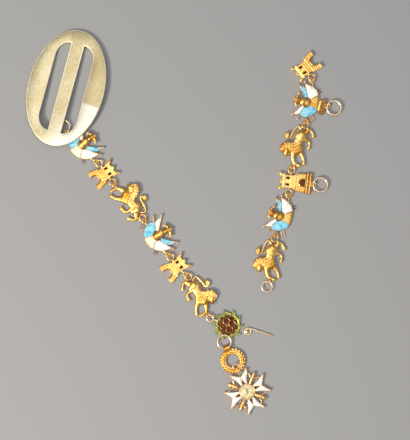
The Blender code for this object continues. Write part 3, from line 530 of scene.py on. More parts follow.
def castleDrawing(kind, rings, loops):
    look = castleLook
    bm = bmesh.new()
    onPlinth = kind == "plinth"
    half = plinthHalf + castleHalf[6:] if onPlinth else castleHalf
    outline = list(half) + [(-x, y) for x, y in reversed(half)]
    if not onPlinth:
        outline += [(-x, y) for x, y in gateHalf] + [(0, -5.7)] + list(reversed(gateHalf))
    winX, winY, winWide, winLong = look["windows"]
    holes = []
    for side in (-1, 1):
        x = side * winX
        holes.append([(x - winWide / 2, winY - winLong / 2), (x + winWide / 2, winY - winLong / 2),
                      (x + winWide / 2, winY + winLong / 2 - 0.5), (x, winY + winLong / 2),
                      (x - winWide / 2, winY + winLong / 2 - 0.5)])
    plate(bm, [outline] + holes, 0, look["plate"], 0.16, grid)
    gate = (3.4, -6.3) if onPlinth else (4.5, -5.6)
    # The stones, in courses that break joint
    for row, high in enumerate(look["courses"]):
        wide = wallWidth(half, high) - 0.9
        count = max(2, round(2 * wide / look["stone"]))
        long = 2 * wide / count
        start = -wide - (long / 2 if row % 2 else 0)
        for i in range(count + (row % 2)):
            left = max(start + i * long, -wide)
            right = min(start + (i + 1) * long, wide)
            if right - left < 0.9:
                continue
            middle = (left + right) / 2
            nearGate = high < gate[1] + 1.4 and left < gate[0] and right > -gate[0]
            reach = winWide / 2 + long / 2 - 0.2
            nearWindow = abs(high - winY) < winLong / 2 + 1.1 and abs(abs(middle) - winX) < reach
            if nearGate:
                if abs(middle) < gate[0]:
                    continue
                sign = 1 if middle > 0 else -1
                left, right = sorted((sign * max(gate[0] + 0.7, min(abs(left), abs(right))),
                                      sign * max(abs(left), abs(right))))
                if right - left < 0.8:
                    continue
            if nearWindow:
                continue
            slab(bm, (left + right) / 2, high, right - left - look["joint"], 1.75, look["plate"] - 0.1,
                 look["plate"] + 0.08, 0.05, grid)
    # Window frames, string course, cornice, and the lumps of the crown
    for side in (-1, 1):
        x = side * winX
        bars = ((x - winWide / 2 - 0.3, winY, 0.4, winLong), (x + winWide / 2 + 0.3, winY, 0.4, winLong),
                (x, winY - winLong / 2 - 0.3, winWide + 1.2, 0.45),
                (x, winY + winLong / 2 + 0.25, winWide + 0.8, 0.45))
        for barX, barY, wide, long in bars:
            slab(bm, barX, barY, wide, long, 1.1, look["plate"] + 0.16, 0.06, grid)
    for high, wide, fat, thick in ((-2.9, 7.9, 0.6, 0.16), (8.3, 7.0, 0.6, 0.2)):
        rod(bm, ((-wide, high, 1.3, fat, thick), (wide, high, 1.3, fat, thick)), grid, 10)
    for side in (-1, 0, 1):
        rod(bm, ((side * 6.2, 10.6, 1.25, 1.3, 0.2), (side * 6.8, 12.4, 1.35, 1.25, 0.24),
                 (side * 7.5, 13.2 if side else 12.8, 1.2, 0.85, 0.2)), grid, 10, 3)
    # The arch round the gate
    if onPlinth:
        arch = [(-3.7, -12.2), (-3.7, -8.8), (-2.4, -6.6), (0, -5.6), (2.4, -6.6), (3.7, -8.8), (3.7, -12.2)]
    else:
        arch = [(-4.9, -12.0), (-4.9, -9.4), (-3.7, -6.5), (0, -4.9), (3.7, -6.5), (4.9, -9.4), (4.9, -12.0)]
    rod(bm, [(x, y, 1.3, 0.5, 0.26) for x, y in arch], grid, 8, 4)
    if onPlinth:
        for high in (-14.2, -17.2):
            moulding(bm, high, 10.5, (1.0, 0.5), (1.55, 0.72), 16)
        rod(bm, ((-9.6, -15.7, 0.9, 0.5, 0.62), (9.6, -15.7, 0.9, 0.5, 0.62)), grid, 10)
        plinthEye(bm, -18.2, 0.0)
    else:
        for side in (-1, 1):
            slab(bm, side * 7.3, -11.9, 5.4, 0.9, 1.1, 1.48, 0.08, grid)
    for hold in rings:
        flatRing(bm, hold)
    for hold in loops:
        wireLoop(bm, hold)
    return bm


def darkFill(kind):
    # Painted shade: dark backs deep in the windows, where the holes lie in shadow, and a dark ground over the
    # closed gate of the plinth
    bm = bmesh.new()
    x, y, wide, long = castleLook["windows"]
    for side in (-1, 1):
        slab(bm, side * x, y, wide + 0.3, long + 0.3, 0.04, 0.4, 0, grid)
    if kind == "plinth":
        window = [(-3.2, -12.2), (3.2, -12.2), (3.2, -8.8), (2.1, -7.0), (0, -6.2), (-2.1, -7.0),
                  (-3.2, -8.8)]
        plate(bm, [window], 0.9, 1.34, 0.05, grid)
    return bm


# Trophy of arms: four enamelled flags fan out behind a cuirass and a helmet

# Each flag runs from its staff's side to its hem. Columns: across, up
flags = {
    "blueOuter": {"inner": ((-5.2, -0.6), (-1.4, -5.8)), "height": 1.15, "folds": 2.5, "colour": "blue",
                  "hem": ((-12.8, 2.4), (-14.4, -2.2), (-13.4, -6.8), (-10.6, -10.8), (-6.8, -13.4),
                          (-2.6, -13.8))},
    "whiteOuter": {"inner": ((6.0, -2.2), (4.4, -5.6)), "height": 1.1, "folds": 2.5, "colour": "white",
                   "hem": ((18.6, 5.4), (17.8, -0.8), (16.0, -5.6), (13.4, -9.4), (10.4, -11.6))},
    "whiteInner": {"inner": ((-2.6, 1.0), (-4.8, -1.4)), "height": 1.0, "folds": 1.5, "colour": "white",
                   "hem": ((-14.2, 10.8), (-13.8, 7.4), (-13.2, 4.6), (-12.0, 2.0))},
    "blueInner": {"inner": ((4.4, 0.6), (6.2, -2.0)), "height": 0.95, "folds": 1.5, "colour": "blue",
                  "hem": ((15.4, 11.4), (15.6, 7.6), (13.8, 3.0), (11.0, 0.2))},
}
# Only the tips of the staffs show, and the whole of the second.
# Columns: tip across, tip up, foot across, foot up
staffs = ((-18.8, 4.0, -11.6, 0.8), (-15.8, 12.0, -2.6, 0.9), (16.8, 13.2, 12.6, 8.2), (21.4, 6.6, 15.4, 3.6))
spears = ((-15.6, -14.8, -9.6, -9.0), (-17.2, -12.6, -10.6, -7.6), (17.2, -12.4, 11.0, -7.6),
          (15.4, -14.4, 9.8, -8.8))


def flagCloth(bm, flag):
    # The enamel: a grid laid between the staff's side and the hem, swollen and folded
    part = bmesh.new()
    hem = eased(flag["hem"], 5)
    bmesh.ops.create_grid(part, x_segments=26, y_segments=14, size=1)
    for vert in part.verts:
        u = (vert.co.x + 1) / 2
        v = (vert.co.y + 1) / 2
        edgeU = 0.03 + 0.94 * u
        edgeV = 0.03 + 0.93 * v
        spot = along(flag["inner"], edgeU).lerp(along(hem, edgeU), edgeV)
        rise = (1 - (2 * u - 1) ** 6) * (1 - (2 * v - 1) ** 6)
        fold = 0.09 * v * cos(2 * pi * flag["folds"] * u)
        vert.co = (spot.x * grid, spot.y * grid, flag["height"] + 0.04 + rise * (0.16 + fold))
    thickened(part, flag["height"] - 0.35)
    joined(bm, part)


def draperyFolds():
    # Folds that spread from the cuirass to the hem
    bm = bmesh.new()
    for k in range(7):
        spread = -1 + 2 * k / 6
        rows = ((1.0 + spread * 2.4, -4.2, 1.02, 0.7, 0.2), (1.9 + spread * 3.8, -8.6, 1.0, 1.1, 0.24),
                (3.4 + spread * 5.0, -12.2 + 1.0 * spread, 0.95, 1.25, 0.24),
                (3.6 + spread * 5.5, -13.3 + 1.3 * spread, 0.85, 0.85, 0.2))
        rod(bm, rows, grid, 10, 4)
    return bm


def shortened(bm, tall):
    # Draws in what lies above the belt
    for vert in bm.verts:
        if vert.co.y > 0:
            vert.co.y *= tall


def trophyDrawing(onPlinth, tall):
    bm = bmesh.new()
    for flag in flags.values():
        outline = [along(flag["inner"], k / 2) for k in range(3)]
        outline += [along(eased(flag["hem"], 5), 1 - k / 18) for k in range(19)]
        low = 0.0 if flag["height"] > 1 else 0.2
        plate(bm, [[tuple(p) for p in outline]], low, flag["height"] + 0.02, 0.06, grid)
        rows = [(*p, flag["height"], 0.24, 0.12) for p in outline + outline[:1]]
        rod(bm, rows, grid, 6)
    # The drapery between the large flags, gathered in folds that spread to the hem
    sheet = ((-3.4, -3.0), (4.6, -3.4), (7.6, -8.0), (10.6, -11.4), (8.0, -12.9), (4.4, -14.0), (0.6, -14.5),
             (-3.2, -14.2), (-2.6, -9.6))
    plate(bm, [sheet], 0.06, 0.95, 0.1, grid)
    shortened(bm, tall)
    if onPlinth:
        slab(bm, 0.6, -15.6, 10.4, 2.6, 0.1, 1.1, 0.1, grid)
        for high in (-16.9, -18.5, -20.1):
            moulding(bm, high, 7.8, (0.6, 0.45), (1.0, 0.7), 12)
        plinthEye(bm, -20.6, 2.0)
    for hold in ("trophyLeft", "trophyRight"):
        wireLoop(bm, hold)
    return bm


def tipsDrawing(tall):
    # The staffs' turned tips and the three knobs of the helmet
    bm = bmesh.new()
    for tipX, tipY, footX, footY in staffs:
        long = hypot(tipX - footX, tipY - footY)
        stepX = (tipX - footX) / long
        stepY = (tipY - footY) / long
        backs = ((0.0, 0.45), (0.3, 1.1), (1.2, 1.45), (2.2, 1.05), (2.6, 0.7), (3.2, 0.9), (3.6, 0.6),
                 (long, 0.6))
        rows = [(tipX - stepX * back, tipY - stepY * back, 0.9, wide, wide * grid)
                for back, wide in reversed(backs)]
        rod(bm, rows, grid, 12)
    for x, y, size in ((7.0, 9.9, 0.62), (1.3, 13.0, 0.62), (-4.9, 9.3, 0.6)):
        ball(bm, (x * grid, y * grid, 1.5), size, (1.15, 1, 0.9))
    shortened(bm, tall)
    return bm


def spearsDrawing():
    bm = bmesh.new()
    for tipX, tipY, footX, footY in spears:
        nearX = tipX * 0.9 + footX * 0.1
        nearY = tipY * 0.9 + footY * 0.1
        rod(bm, ((footX, footY, 0.62, 0.4, 0.2), (nearX, nearY, 0.5, 0.34, 0.16),
                 (tipX, tipY, 0.45, 0.15, 0.08)), grid, 8)
    return bm


def armourDrawing(tall):
    bm = bmesh.new()
    # Cuirass with its bands, skirt of plates and the collar
    body = ((0.6, -6.2, 0.9, 2.4, 0.5), (0.6, -4.8, 1.0, 3.9, 0.85), (0.5, -2.8, 1.05, 4.0, 1.0),
            (0.3, -0.4, 1.1, 3.3, 0.95), (0.3, 2.2, 1.2, 4.3, 1.1), (0.3, 4.6, 1.15, 3.5, 1.0),
            (0.4, 6.2, 1.1, 2.0, 0.75))
    rod(bm, body, grid, 18, 4)
    for high, wide in ((-4.8, 3.9), (-3.6, 4.0), (-2.4, 3.9), (-1.2, 3.5), (-0.1, 3.3), (5.4, 2.8)):
        rod(bm, ((-wide + 0.3, high + 0.3, 1.2, 0.3, 0.24), (0.3, high - 0.5, 1.95, 0.42, 0.16),
                 (wide + 0.3, high + 0.3, 1.2, 0.3, 0.24)), grid, 8, 5)
    for side in (-1, 1):
        for k in range(3):
            rod(bm, ((side * (0.7 + 1.1 * k), 1.2, 1.9 - 0.2 * k, 0.32, 0.16),
                     (side * (0.6 + 0.9 * k), 4.6, 1.98 - 0.2 * k, 0.32, 0.16)), grid, 6)
    # Helmet, its visor bars and crest, and the two scrolls that fall beside it
    helmet = ((0.4, 5.4, 1.1, 1.8, 0.7), (0.5, 7.2, 1.15, 2.3, 0.9), (0.7, 9.6, 1.2, 2.7, 1.0),
              (0.9, 11.8, 1.2, 2.4, 0.95), (0.9, 13.4, 1.0, 0.9, 0.4))
    rod(bm, helmet, grid, 16, 4)
    for k in range(3):
        rod(bm, ((-1.7, 7.6 + 1.3 * k, 1.75, 0.3, 0.2), (0.6, 7.2 + 1.3 * k, 2.16, 0.32, 0.14),
                 (2.9, 7.6 + 1.3 * k, 1.75, 0.3, 0.2)), grid, 6, 4)
    rod(bm, ((0.2, 10.4, 2.0, 0.7, 0.15), (0.9, 12.2, 2.0, 0.9, 0.28), (1.1, 13.8, 1.4, 0.5, 0.2)),
        grid, 8, 4)
    for side in (-1, 1):
        rod(bm, ((side * 0.2 + 1.0, 10.4, 1.45, 1.5, 0.5), (side * 2.6 + 1.0, 11.2, 1.4, 1.7, 0.55),
                 (side * 4.4 + 1.0, 10.8, 1.35, 1.5, 0.52), (side * 5.6 + 1.0, 9.9, 1.3, 1.1, 0.45)),
            grid, 12, 4)
    shortened(bm, tall)
    return bm


# Lion, walking with one paw raised. Columns: front, up, height, half width, half thickness

lionForms = {
    "trunk": ((-10.2, -2.0, 0.8, 1.6, 0.5), (-9.0, -1.6, 0.95, 3.8, 0.8), (-6.2, -1.0, 1.0, 4.9, 0.98),
              (-2.4, 0.2, 0.95, 4.1, 0.9), (1.4, 1.2, 0.95, 4.1, 0.9), (6.0, 2.7, 1.05, 5.8, 1.0),
              (10.6, 4.0, 1.0, 4.3, 0.85), (13.4, 4.6, 0.9, 2.2, 0.6)),
    "haunch": ((-8.6, 1.6, 1.0, 1.8, 0.6), (-7.4, -1.4, 1.2, 3.9, 0.95), (-5.6, -4.6, 1.1, 2.8, 0.8),
               (-4.0, -7.0, 0.95, 1.6, 0.6)),
    "mane": ((5.4, -2.2, 0.9, 2.6, 0.7), (5.4, 1.8, 1.05, 5.2, 1.0), (5.6, 6.2, 1.1, 6.0, 1.05),
             (5.8, 11.0, 1.15, 6.6, 1.05), (6.4, 15.0, 1.1, 5.6, 0.95), (7.6, 18.2, 1.0, 2.0, 0.5)),
    "head": ((6.4, 12.8, 1.5, 3.4, 0.8), (9.4, 12.9, 1.65, 3.0, 0.85), (12.0, 12.9, 1.5, 2.3, 0.75),
             (14.0, 13.2, 1.25, 1.6, 0.55)),
    "jaw": ((8.6, 10.6, 1.3, 1.4, 0.5), (11.4, 10.8, 1.15, 1.1, 0.45), (13.2, 11.2, 1.0, 0.7, 0.3)),
    "tongue": ((12.0, 12.0, 0.95, 0.7, 0.3), (14.0, 13.6, 0.85, 0.6, 0.26), (15.8, 15.4, 0.8, 0.3, 0.14)),
    "shoulder": ((8.0, 3.6, 1.2, 2.4, 0.8), (10.8, 5.0, 1.15, 3.0, 0.85), (13.4, 5.4, 1.0, 2.0, 0.65)),
    "forelegHigh": ((10.0, 5.4, 0.95, 2.6, 0.75), (14.6, 6.0, 0.95, 1.9, 0.62), (19.2, 5.2, 0.85, 1.4, 0.5),
                    (21.6, 3.6, 0.8, 1.35, 0.5), (22.6, 1.6, 0.78, 1.1, 0.42), (23.6, -0.2, 0.75, 1.5, 0.48),
                    (24.0, -1.2, 0.7, 0.9, 0.3)),
    "forelegLow": ((8.6, -0.6, 0.9, 2.8, 0.75), (12.2, -2.6, 0.85, 1.9, 0.58), (15.6, -4.4, 0.78, 1.3, 0.46),
                   (18.6, -5.1, 0.75, 1.15, 0.42), (21.2, -5.2, 0.75, 1.5, 0.46),
                   (22.4, -5.2, 0.7, 0.8, 0.3)),
    "thigh": ((-3.8, -1.8, 1.0, 3.6, 0.85), (-2.6, -5.4, 0.9, 2.2, 0.65), (-1.4, -8.4, 0.8, 1.35, 0.48),
              (0.4, -10.2, 0.72, 1.15, 0.42), (3.2, -10.3, 0.7, 1.15, 0.4), (5.8, -9.5, 0.7, 1.5, 0.45),
              (7.0, -9.1, 0.65, 0.8, 0.28)),
    "hindLeg": ((-7.8, -2.4, 0.9, 3.2, 0.75), (-9.8, -6.4, 0.88, 2.2, 0.62), (-12.2, -9.4, 0.8, 1.4, 0.5),
                (-11.4, -11.6, 0.75, 1.15, 0.42), (-9.2, -13.1, 0.7, 1.1, 0.4), (-6.0, -13.9, 0.7, 1.5, 0.45),
                (-4.8, -14.1, 0.65, 0.9, 0.3)),
    "tail": ((-8.6, -0.4, 0.8, 1.3, 0.42), (-11.4, -1.6, 0.8, 0.95, 0.36), (-14.2, -0.9, 0.8, 0.85, 0.34),
             (-15.7, 1.6, 0.8, 0.85, 0.34), (-12.8, 4.6, 0.8, 0.85, 0.34), (-8.6, 7.0, 0.8, 0.85, 0.34),
             (-5.0, 8.9, 0.8, 0.9, 0.35), (-3.6, 10.8, 0.85, 1.0, 0.4), (-5.2, 12.4, 0.9, 1.5, 0.5),
             (-8.0, 12.2, 0.9, 1.6, 0.55), (-10.4, 10.6, 0.8, 0.9, 0.3), (-11.3, 9.4, 0.75, 0.25, 0.12)),
}
# The mane's locks lie in rings round the face. Columns: distance, first turn, last turn, count
maneLocks = ((13.2, 190, 262, 11), (11.2, 160, 268, 15), (9.2, 126, 272, 17), (7.2, 96, 276, 17),
             (5.4, 84, 278, 15), (3.9, 80, 276, 11))
lionLook = {"cell": 0.115, "passes": 6, "face": (10.0, 11.4), "lock": 3.3, "full": 1.2,
            "slim": ("mane", "head", "jaw", "tongue")}


def mirrored(side, rows):
    return [(side * x, *rest) for x, *rest in rows]


def lionDrawing(side):
    look = lionLook
    bm = bmesh.new()
    for form, rows in lionForms.items():
        full = 1 if form in look["slim"] else look["full"]
        rod(bm, [(side * x, y, z, wide * full, thick) for x, y, z, wide, thick in rows], grid, 14, 4)
    for x, y in ((6, 6), (-5, -1.2)):
        slab(bm, side * x, y, 5.6, 5.0, 0.0, 1.0, 0, grid)
    bm = fused(bm, look["cell"], look["passes"])
    skin = BVHTree.FromBMesh(bm)
    faceX, faceY = look["face"]
    for far, first, last, count in maneLocks:
        for i in range(count):
            turn = radians(first + (last - first) * (i + 0.5) / count)
            curl = 0.9 if i % 2 else 0.45
            rows = []
            for t, wide, thick in ((0.0, 0.5, 0.16), (0.3, 0.85, 0.25), (0.65, 0.8, 0.24), (1.0, 0.25, 0.1)):
                reach = far + look["lock"] * t
                bend = turn + curl * t * t * 3.3 / far
                x = faceX + reach * cos(bend)
                y = faceY + reach * sin(bend)
                hit = skin.ray_cast(Vector((side * x * grid, y * grid, 5)), -up)[0]
                if hit is None or hit.z < 1.0:
                    break
                rows.append((side * x, y, hit.z + 0.02 + 0.1 * t, wide, thick))
            if len(rows) > 2:
                rows[-1] = (*rows[-1][:3], 0.25, 0.1)
                rod(bm, rows, grid, 8, 3)
    # Brow, nose, eye and ear
    brow = ((8.2, 14.6, 2.0, 0.5, 0.2), (10.2, 14.4, 2.1, 0.6, 0.22), (12.0, 13.9, 1.85, 0.5, 0.2))
    ear = ((7.2, 15.6, 1.7, 0.9, 0.3), (8.4, 17.4, 1.5, 0.8, 0.28), (9.4, 18.6, 1.2, 0.2, 0.1))
    for rows in (brow, ear):
        rod(bm, mirrored(side, rows), grid, 8, 3)
    ball(bm, (side * 13.7 * grid, 13.6 * grid, 1.35), 0.36, (1, 0.9, 0.9))
    ball(bm, (side * 10.4 * grid, 13.2 * grid, 2.12), 0.26)
    # Ribs low on the flank
    for i in range(3):
        x = 0.6 - 1.5 * i
        rows = ((x + 0.4, 1.4 - 0.4 * i, 1.72, 0.25, 0.1), (x, -0.6 - 0.3 * i, 1.76, 0.4, 0.12),
                (x + 0.2, -2.4 - 0.2 * i, 1.45, 0.25, 0.1))
        rod(bm, mirrored(side, rows), grid, 8, 4)
    # Toes
    for x, y, turn in ((23.8, -0.9, -70), (21.9, -5.3, 0), (6.4, -9.3, 20), (-5.3, -14.0, -5)):
        for k in (-1, 0, 1):
            a = radians(turn)
            toeX = x + 0.5 * cos(a) - 0.95 * k * sin(a)
            toeY = y + 0.5 * sin(a) + 0.95 * k * cos(a)
            ball(bm, (side * toeX * grid, toeY * grid, 0.72), 0.27, (1.25, 1, 1), a * side)
    # The tail's tuft
    for k in range(5):
        off = (k - 2) * 0.62
        rows = ((-4.2 - 0.1 * k, 11.6 + off * 0.5, 1.1, 0.4, 0.16), (-6.6, 12.5 + off, 1.32, 0.62, 0.2),
                (-9.0, 11.7 + off * 0.8, 1.2, 0.5, 0.18), (-11.1, 9.9 + off * 0.3, 0.85, 0.15, 0.08))
        rod(bm, mirrored(side, rows), grid, 8, 4)
    # Behind the mane, and on the paws, the hide is smooth, in a lighter gold that is a painted highlight
    for face in bm.faces:
        spot = face.calc_center_median() / grid
        if side * spot.x < 2.6 or (side * spot.x > 12.8 and spot.y < 7):
            face.material_index = 1
    flatRing(bm, "lionRump", side)
    wireLoop(bm, "lionPaw", side)
    return bm


# The links on the table. Columns: kind, across, up, turn
links = {
    "trophy_1": ("trophy", -42.211, 33.352, -51.5),
    "castle_1": ("castle", -33.849, 20.145, -54.0),
    "lion_1": ("lion", -22.008, 7.812, -34.5),
    "trophy_2": ("trophy", -10.664, -4.988, -61.5),
    "castle_2": ("stem", -3.739, -19.132, -52.0),
    "lion_2": ("turnedLion", 5.556, -29.389, -78.0),
    "castle_3": ("end", 51.549, 65.322, 128.0),
    "trophy_3": ("plinthTrophy", 50.587, 50.395, 75.5),
    "lion_3": ("lion", 48.347, 33.689, 88.5),
    "castle_4": ("plinth", 45.717, 17.038, 83.5),
    "trophy_4": ("trophy", 39.338, 2.644, 66.0),
    "lion_4": ("lion", 36.54, -14.252, 96.5),
}
# Columns: height above the belt, drapery
casts = {"trophy_1": (1.0, "pale"), "trophy_2": (1.0, "pale"),
         "trophy_3": (0.8, "gilt"), "trophy_4": (0.76, "gilt")}
castleHolds = {
    "castle": (("castleLeft", "castleRight"), ()),
    "end": (("castleLeft",), ()),
    "stem": (("castleLeft",), ("castleStem",)),
    "plinth": (("castleLeft", "castleRight"), ()),
}

for name, (kind, x, y, turn) in links.items():
    place = lay(x, y, turn)
    if kind in castleHolds:
        setDown(castleDrawing(kind, *castleHolds[kind]), name + "_gold", castGold, "cast_gold", place, name)
        # The dark backs are painted shade
        setDown(darkFill(kind), name + "_dark", paintedShadeSheet, "dark_enamel", place)
    elif "rophy" in kind:
        tall, drapery = casts[name]
        setDown(trophyDrawing(kind == "plinthTrophy", tall),
                name + "_gold", castGold, "cast_gold", place, name)
        setDown(armourDrawing(tall), name + "_armour", maneGold, "cast_gold", place)
        # The tips and knobs are painted pale as a highlight
        setDown(tipsDrawing(tall), name + "_tips", knobHighlight, "cast_gold", place)
        setDown(spearsDrawing(), name + "_spears", copperWire, "cast_gold", place)
        # Pale drapery: gilt folds painted pale as a highlight
        cloth = (drapeHighlight, "white_enamel") if drapery == "pale" else (maneGold, "cast_gold")
        setDown(draperyFolds(), name + "_drapery", *cloth, place)
        for colour, material in (("white", whiteEnamel), ("blue", blueEnamel)):
            bm = bmesh.new()
            for flag in flags.values():
                if flag["colour"] == colour:
                    flagCloth(bm, flag)
            shortened(bm, tall)
            setDown(bm, name + "_" + colour + "_flags", material, colour + "_enamel", place)
    else:
        side = 1 if kind == "turnedLion" else -1
        lion = setDown(lionDrawing(side), name + "_gold", maneGold, "cast_gold", place, name)
        # The hide's lighter gold: a painted highlight
        lion.data.materials.append(hideHighlightGold)
print("links laid")


# The slide buckle: an oval plate with two slots, straight along the bar

buckle = {"long": 50.0, "wide": 32.2, "plate": 1.2, "edge": 0.4, "bar": 5.7, "slot": 5.15, "slotLong": 37.8,
          "corner": 6.3, "place": (-49.351, 56.322, 1.56), "lean": 14.85, "tilt": 3.6, "towards": -75}


def buckleDrawing():
    look = buckle
    bm = bmesh.new()
    slots = []
    middle = look["slotLong"] / 2 - look["corner"]
    for side in (-1, 1):
        slot = [(look["bar"] / 2, -look["slotLong"] / 2)]
        for sign, turns in ((-1, range(19, -1, -1)), (1, range(20))):
            for i in turns:
                turn = pi / 2 * i / 20
                slot.append((look["bar"] / 2 + look["slot"] * cos(turn),
                             sign * (middle + look["corner"] * sin(turn))))
        slot.append((look["bar"] / 2, look["slotLong"] / 2))
        slots.append([(side * x, y) for x, y in slot])
    rim = oval(look["wide"] / 2, look["long"] / 2, 144)
    plate(bm, [rim] + slots, 0, look["plate"], look["edge"], segments=3)
    return bm


towards = radians(buckle["towards"])
tiltTurn = Matrix.Rotation(radians(buckle["tilt"]), 4, Vector((sin(towards), -cos(towards), 0)))
leanTurn = Matrix.Rotation(radians(-buckle["lean"]), 4, "Z")
sheet = setDown(buckleDrawing(), "buckle_plate", paleGilt, "pale_gilt",
                Matrix.Translation(buckle["place"]) @ tiltTurn @ leanTurn, "buckle")
sheet.data.materials.append(edgeHighlight)
# The rounded edges take the pale gilt of a painted highlight
for face in sheet.data.polygons:
    if 0.15 < face.normal.z < 0.985:
        face.material_index = 1

# Separate rings. Columns: across, up, height, ring's middle radius, wire
looseRings = {
    "buckle_ring": (-50.985, 40.111, 1.28, 2.95, 0.65),
    "castle_4_ring": (57.187, 15.731, 1.33, 2.95, 0.8),
    "trophy_3_ring": (62.93, 48.069, 1.33, 2.95, 0.8),
    "end_ring": (34.792, -27.078, 1.28, 2.2, 0.6),
}
for name, (x, y, z, radius, wire) in looseRings.items():
    bm = bmesh.new()
    ring(bm, (x, y, z), radius, wire, around=56, sides=14)
    setDown(bm, name + "_wire", wireGold, "gold_wire", Matrix.Identity(4), name)
print("buckle and rings made")


# Medallion: a dark sheet of painted shade in a wreath of pointed leaves, with plain wire tracery

medallion = {"across": 10.3, "rim": 1.25, "place": (18.438, -43.182), "leaves": 10, "firstLeaf": 15,
             "ringTurn": 159.0, "pendantTurn": -102.7, "pendantAcross": 6.4, "pendantWire": 0.66}


def leafShape(bm, x, y, turn, long, wide, low, high, crease=0.0):
    # A pointed leaf with a raised middle
    part = bmesh.new()
    bmesh.ops.create_grid(part, x_segments=8, y_segments=6, size=1)
    for vert in part.verts:
        u = (vert.co.x + 1) / 2
        v = vert.co.y
        half = wide / 2 * sin(pi * u) ** 0.8 if 0 < u < 1 else 0
        vein = 0.06 if abs(v) < 0.1 else 0
        vert.co = (u * long, v * half, high - v * v * crease - vein - 0.25 * (high - low) * (2 * u - 1) ** 2)
    thickened(part, low)
    bmesh.ops.remove_doubles(part, verts=part.verts, dist=0.004)
    joined(bm, part, Matrix.Translation((x, y, 0)) @ Matrix.Rotation(turn, 4, "Z"))


def leafTurns():
    count = medallion["leaves"]
    return [radians(medallion["firstLeaf"] + 360 / count * i) for i in range(count)]


def leafLine(turn, reach, lean):
    # A leaf of the medallion, from the rim outwards or inwards, leaning on. Turns in radians
    outer = medallion["across"] / 2
    start = Vector(((outer - 0.5) * cos(turn), (outer - 0.5) * sin(turn)))
    end = Vector(((outer + reach) * cos(turn + lean), (outer + reach) * sin(turn + lean)))
    return start, end


def medallionGold():
    look = medallion
    bm = bmesh.new()
    outer = look["across"] / 2
    middle = outer - look["rim"] / 2
    rim = outer - 0.3
    ring(bm, (0, 0, 0.8), rim, 0.6, around=64, sides=12)
    ring(bm, (0, 0, 0.62), rim - 0.3, 0.7, around=64, sides=12)
    plate(bm, [oval(middle, middle, 48)], 0.3, 0.7)
    for turn in leafTurns():
        start, end = leafLine(turn, 1.5, radians(24))
        line = (end - start).normalized()
        side = Vector((-line.y, line.x))
        for sign in (-1, 1):
            bend = start + (end - start) * 0.4 + side * 0.46 * sign
            rod(bm, ((*start, 0.76, 0.1, 0.1), (*bend, 0.76, 0.1, 0.1), (*end, 0.6, 0.08, 0.08)), 1, 8, 4)
    # Twisted beading on the rim
    for i in range(52):
        turn = 2 * pi * i / 52
        ball(bm, (rim * cos(turn), rim * sin(turn), 0.98), 0.2, (1.5, 0.7, 0.8), turn + 0.9)
    return bm


def medallionTracery():
    bm = bmesh.new()
    for i in range(4):
        turn = radians(90 * i + 20)
        ring(bm, (1.8 * cos(turn), 1.8 * sin(turn), 1.02), 1.4, 0.36, around=36, sides=8)
    ring(bm, (0, 0, 1.06), 0.66, 0.3, around=28, sides=8)
    ball(bm, (0, 0, 1.05), 0.3)
    return bm


def medallionRings():
    look = medallion
    bm = bmesh.new()
    outer = look["across"] / 2
    held = look["ringTurn"]
    far = outer + wires["ringAcross"] / 2 + 1.25
    flatRing(bm, (*polar(far, held), *polar(outer - 0.4, held)), 1, 1)
    far = outer - look["rim"] / 2 + look["pendantAcross"] / 2 - 0.55
    ring(bm, (*polar(far, look["pendantTurn"]), wires["height"] + 0.1),
         (look["pendantAcross"] - look["pendantWire"]) / 2, look["pendantWire"], around=56, sides=12)
    return bm


def medallionLeaves():
    # Columns: start along the rim, reach, lean, then the leaf's width, foot, top and crease
    bm = bmesh.new()
    leaves = ((0, 1.5, radians(24), 0.98, 0.55, 0.9, 0.08), (radians(16), -1.5, 0.34, 0.7, 0.8, 1.08, 0.1))
    for turn in leafTurns():
        for shift, reach, lean, *form in leaves:
            start, end = leafLine(turn + shift, reach, lean)
            line = end - start
            leafShape(bm, *start, Vector((1, 0)).angle_signed(line) * -1, line.length, *form)
    return bm


def medallionShade():
    # Painted shade: a dark sheet across the middle, inside the rim
    bm = bmesh.new()
    radius = medallion["across"] / 2 - 0.6
    plate(bm, [oval(radius, radius, 48)], 0.5, 0.86, 0.08)
    return bm


place = lay(*medallion["place"], 0)
setDown(medallionGold(), "medallion_rim", oliveGold, "cast_gold", place, "medallion")
setDown(medallionTracery(), "medallion_tracery", copperWire, "cast_gold", place)
setDown(medallionRings(), "medallion_rings", wireGold, "cast_gold", place)
setDown(medallionLeaves(), "medallion_leaves", greenEnamel, "green_enamel", place)
setDown(medallionShade(), "medallion_shade", paintedShadeSheet, "dark_enamel", place)


# Laurel wreath with its ribbed bail and the staple over the star's shank

wreath = {"across": 10.5, "rim": 2.4, "place": (20.58, -58.157),
          "turn": 25.0, "bailLong": 2.5, "bailWall": 0.4,
          "hole": medallion["pendantWire"] / 2 + wires["gap"] + 0.2, "staple": 2.5, "shank": 0.6,
          "eyeHigh": 1.85, "eyeWire": 0.5}


# The three overlapping rows of leaves. Columns: reach, splay, height, length
laurelRows = ((0.62, 0.62, 1.12, 2.2), (-0.66, -0.62, 1.1, 1.8), (0.0, 0.0, 1.34, 2.0))


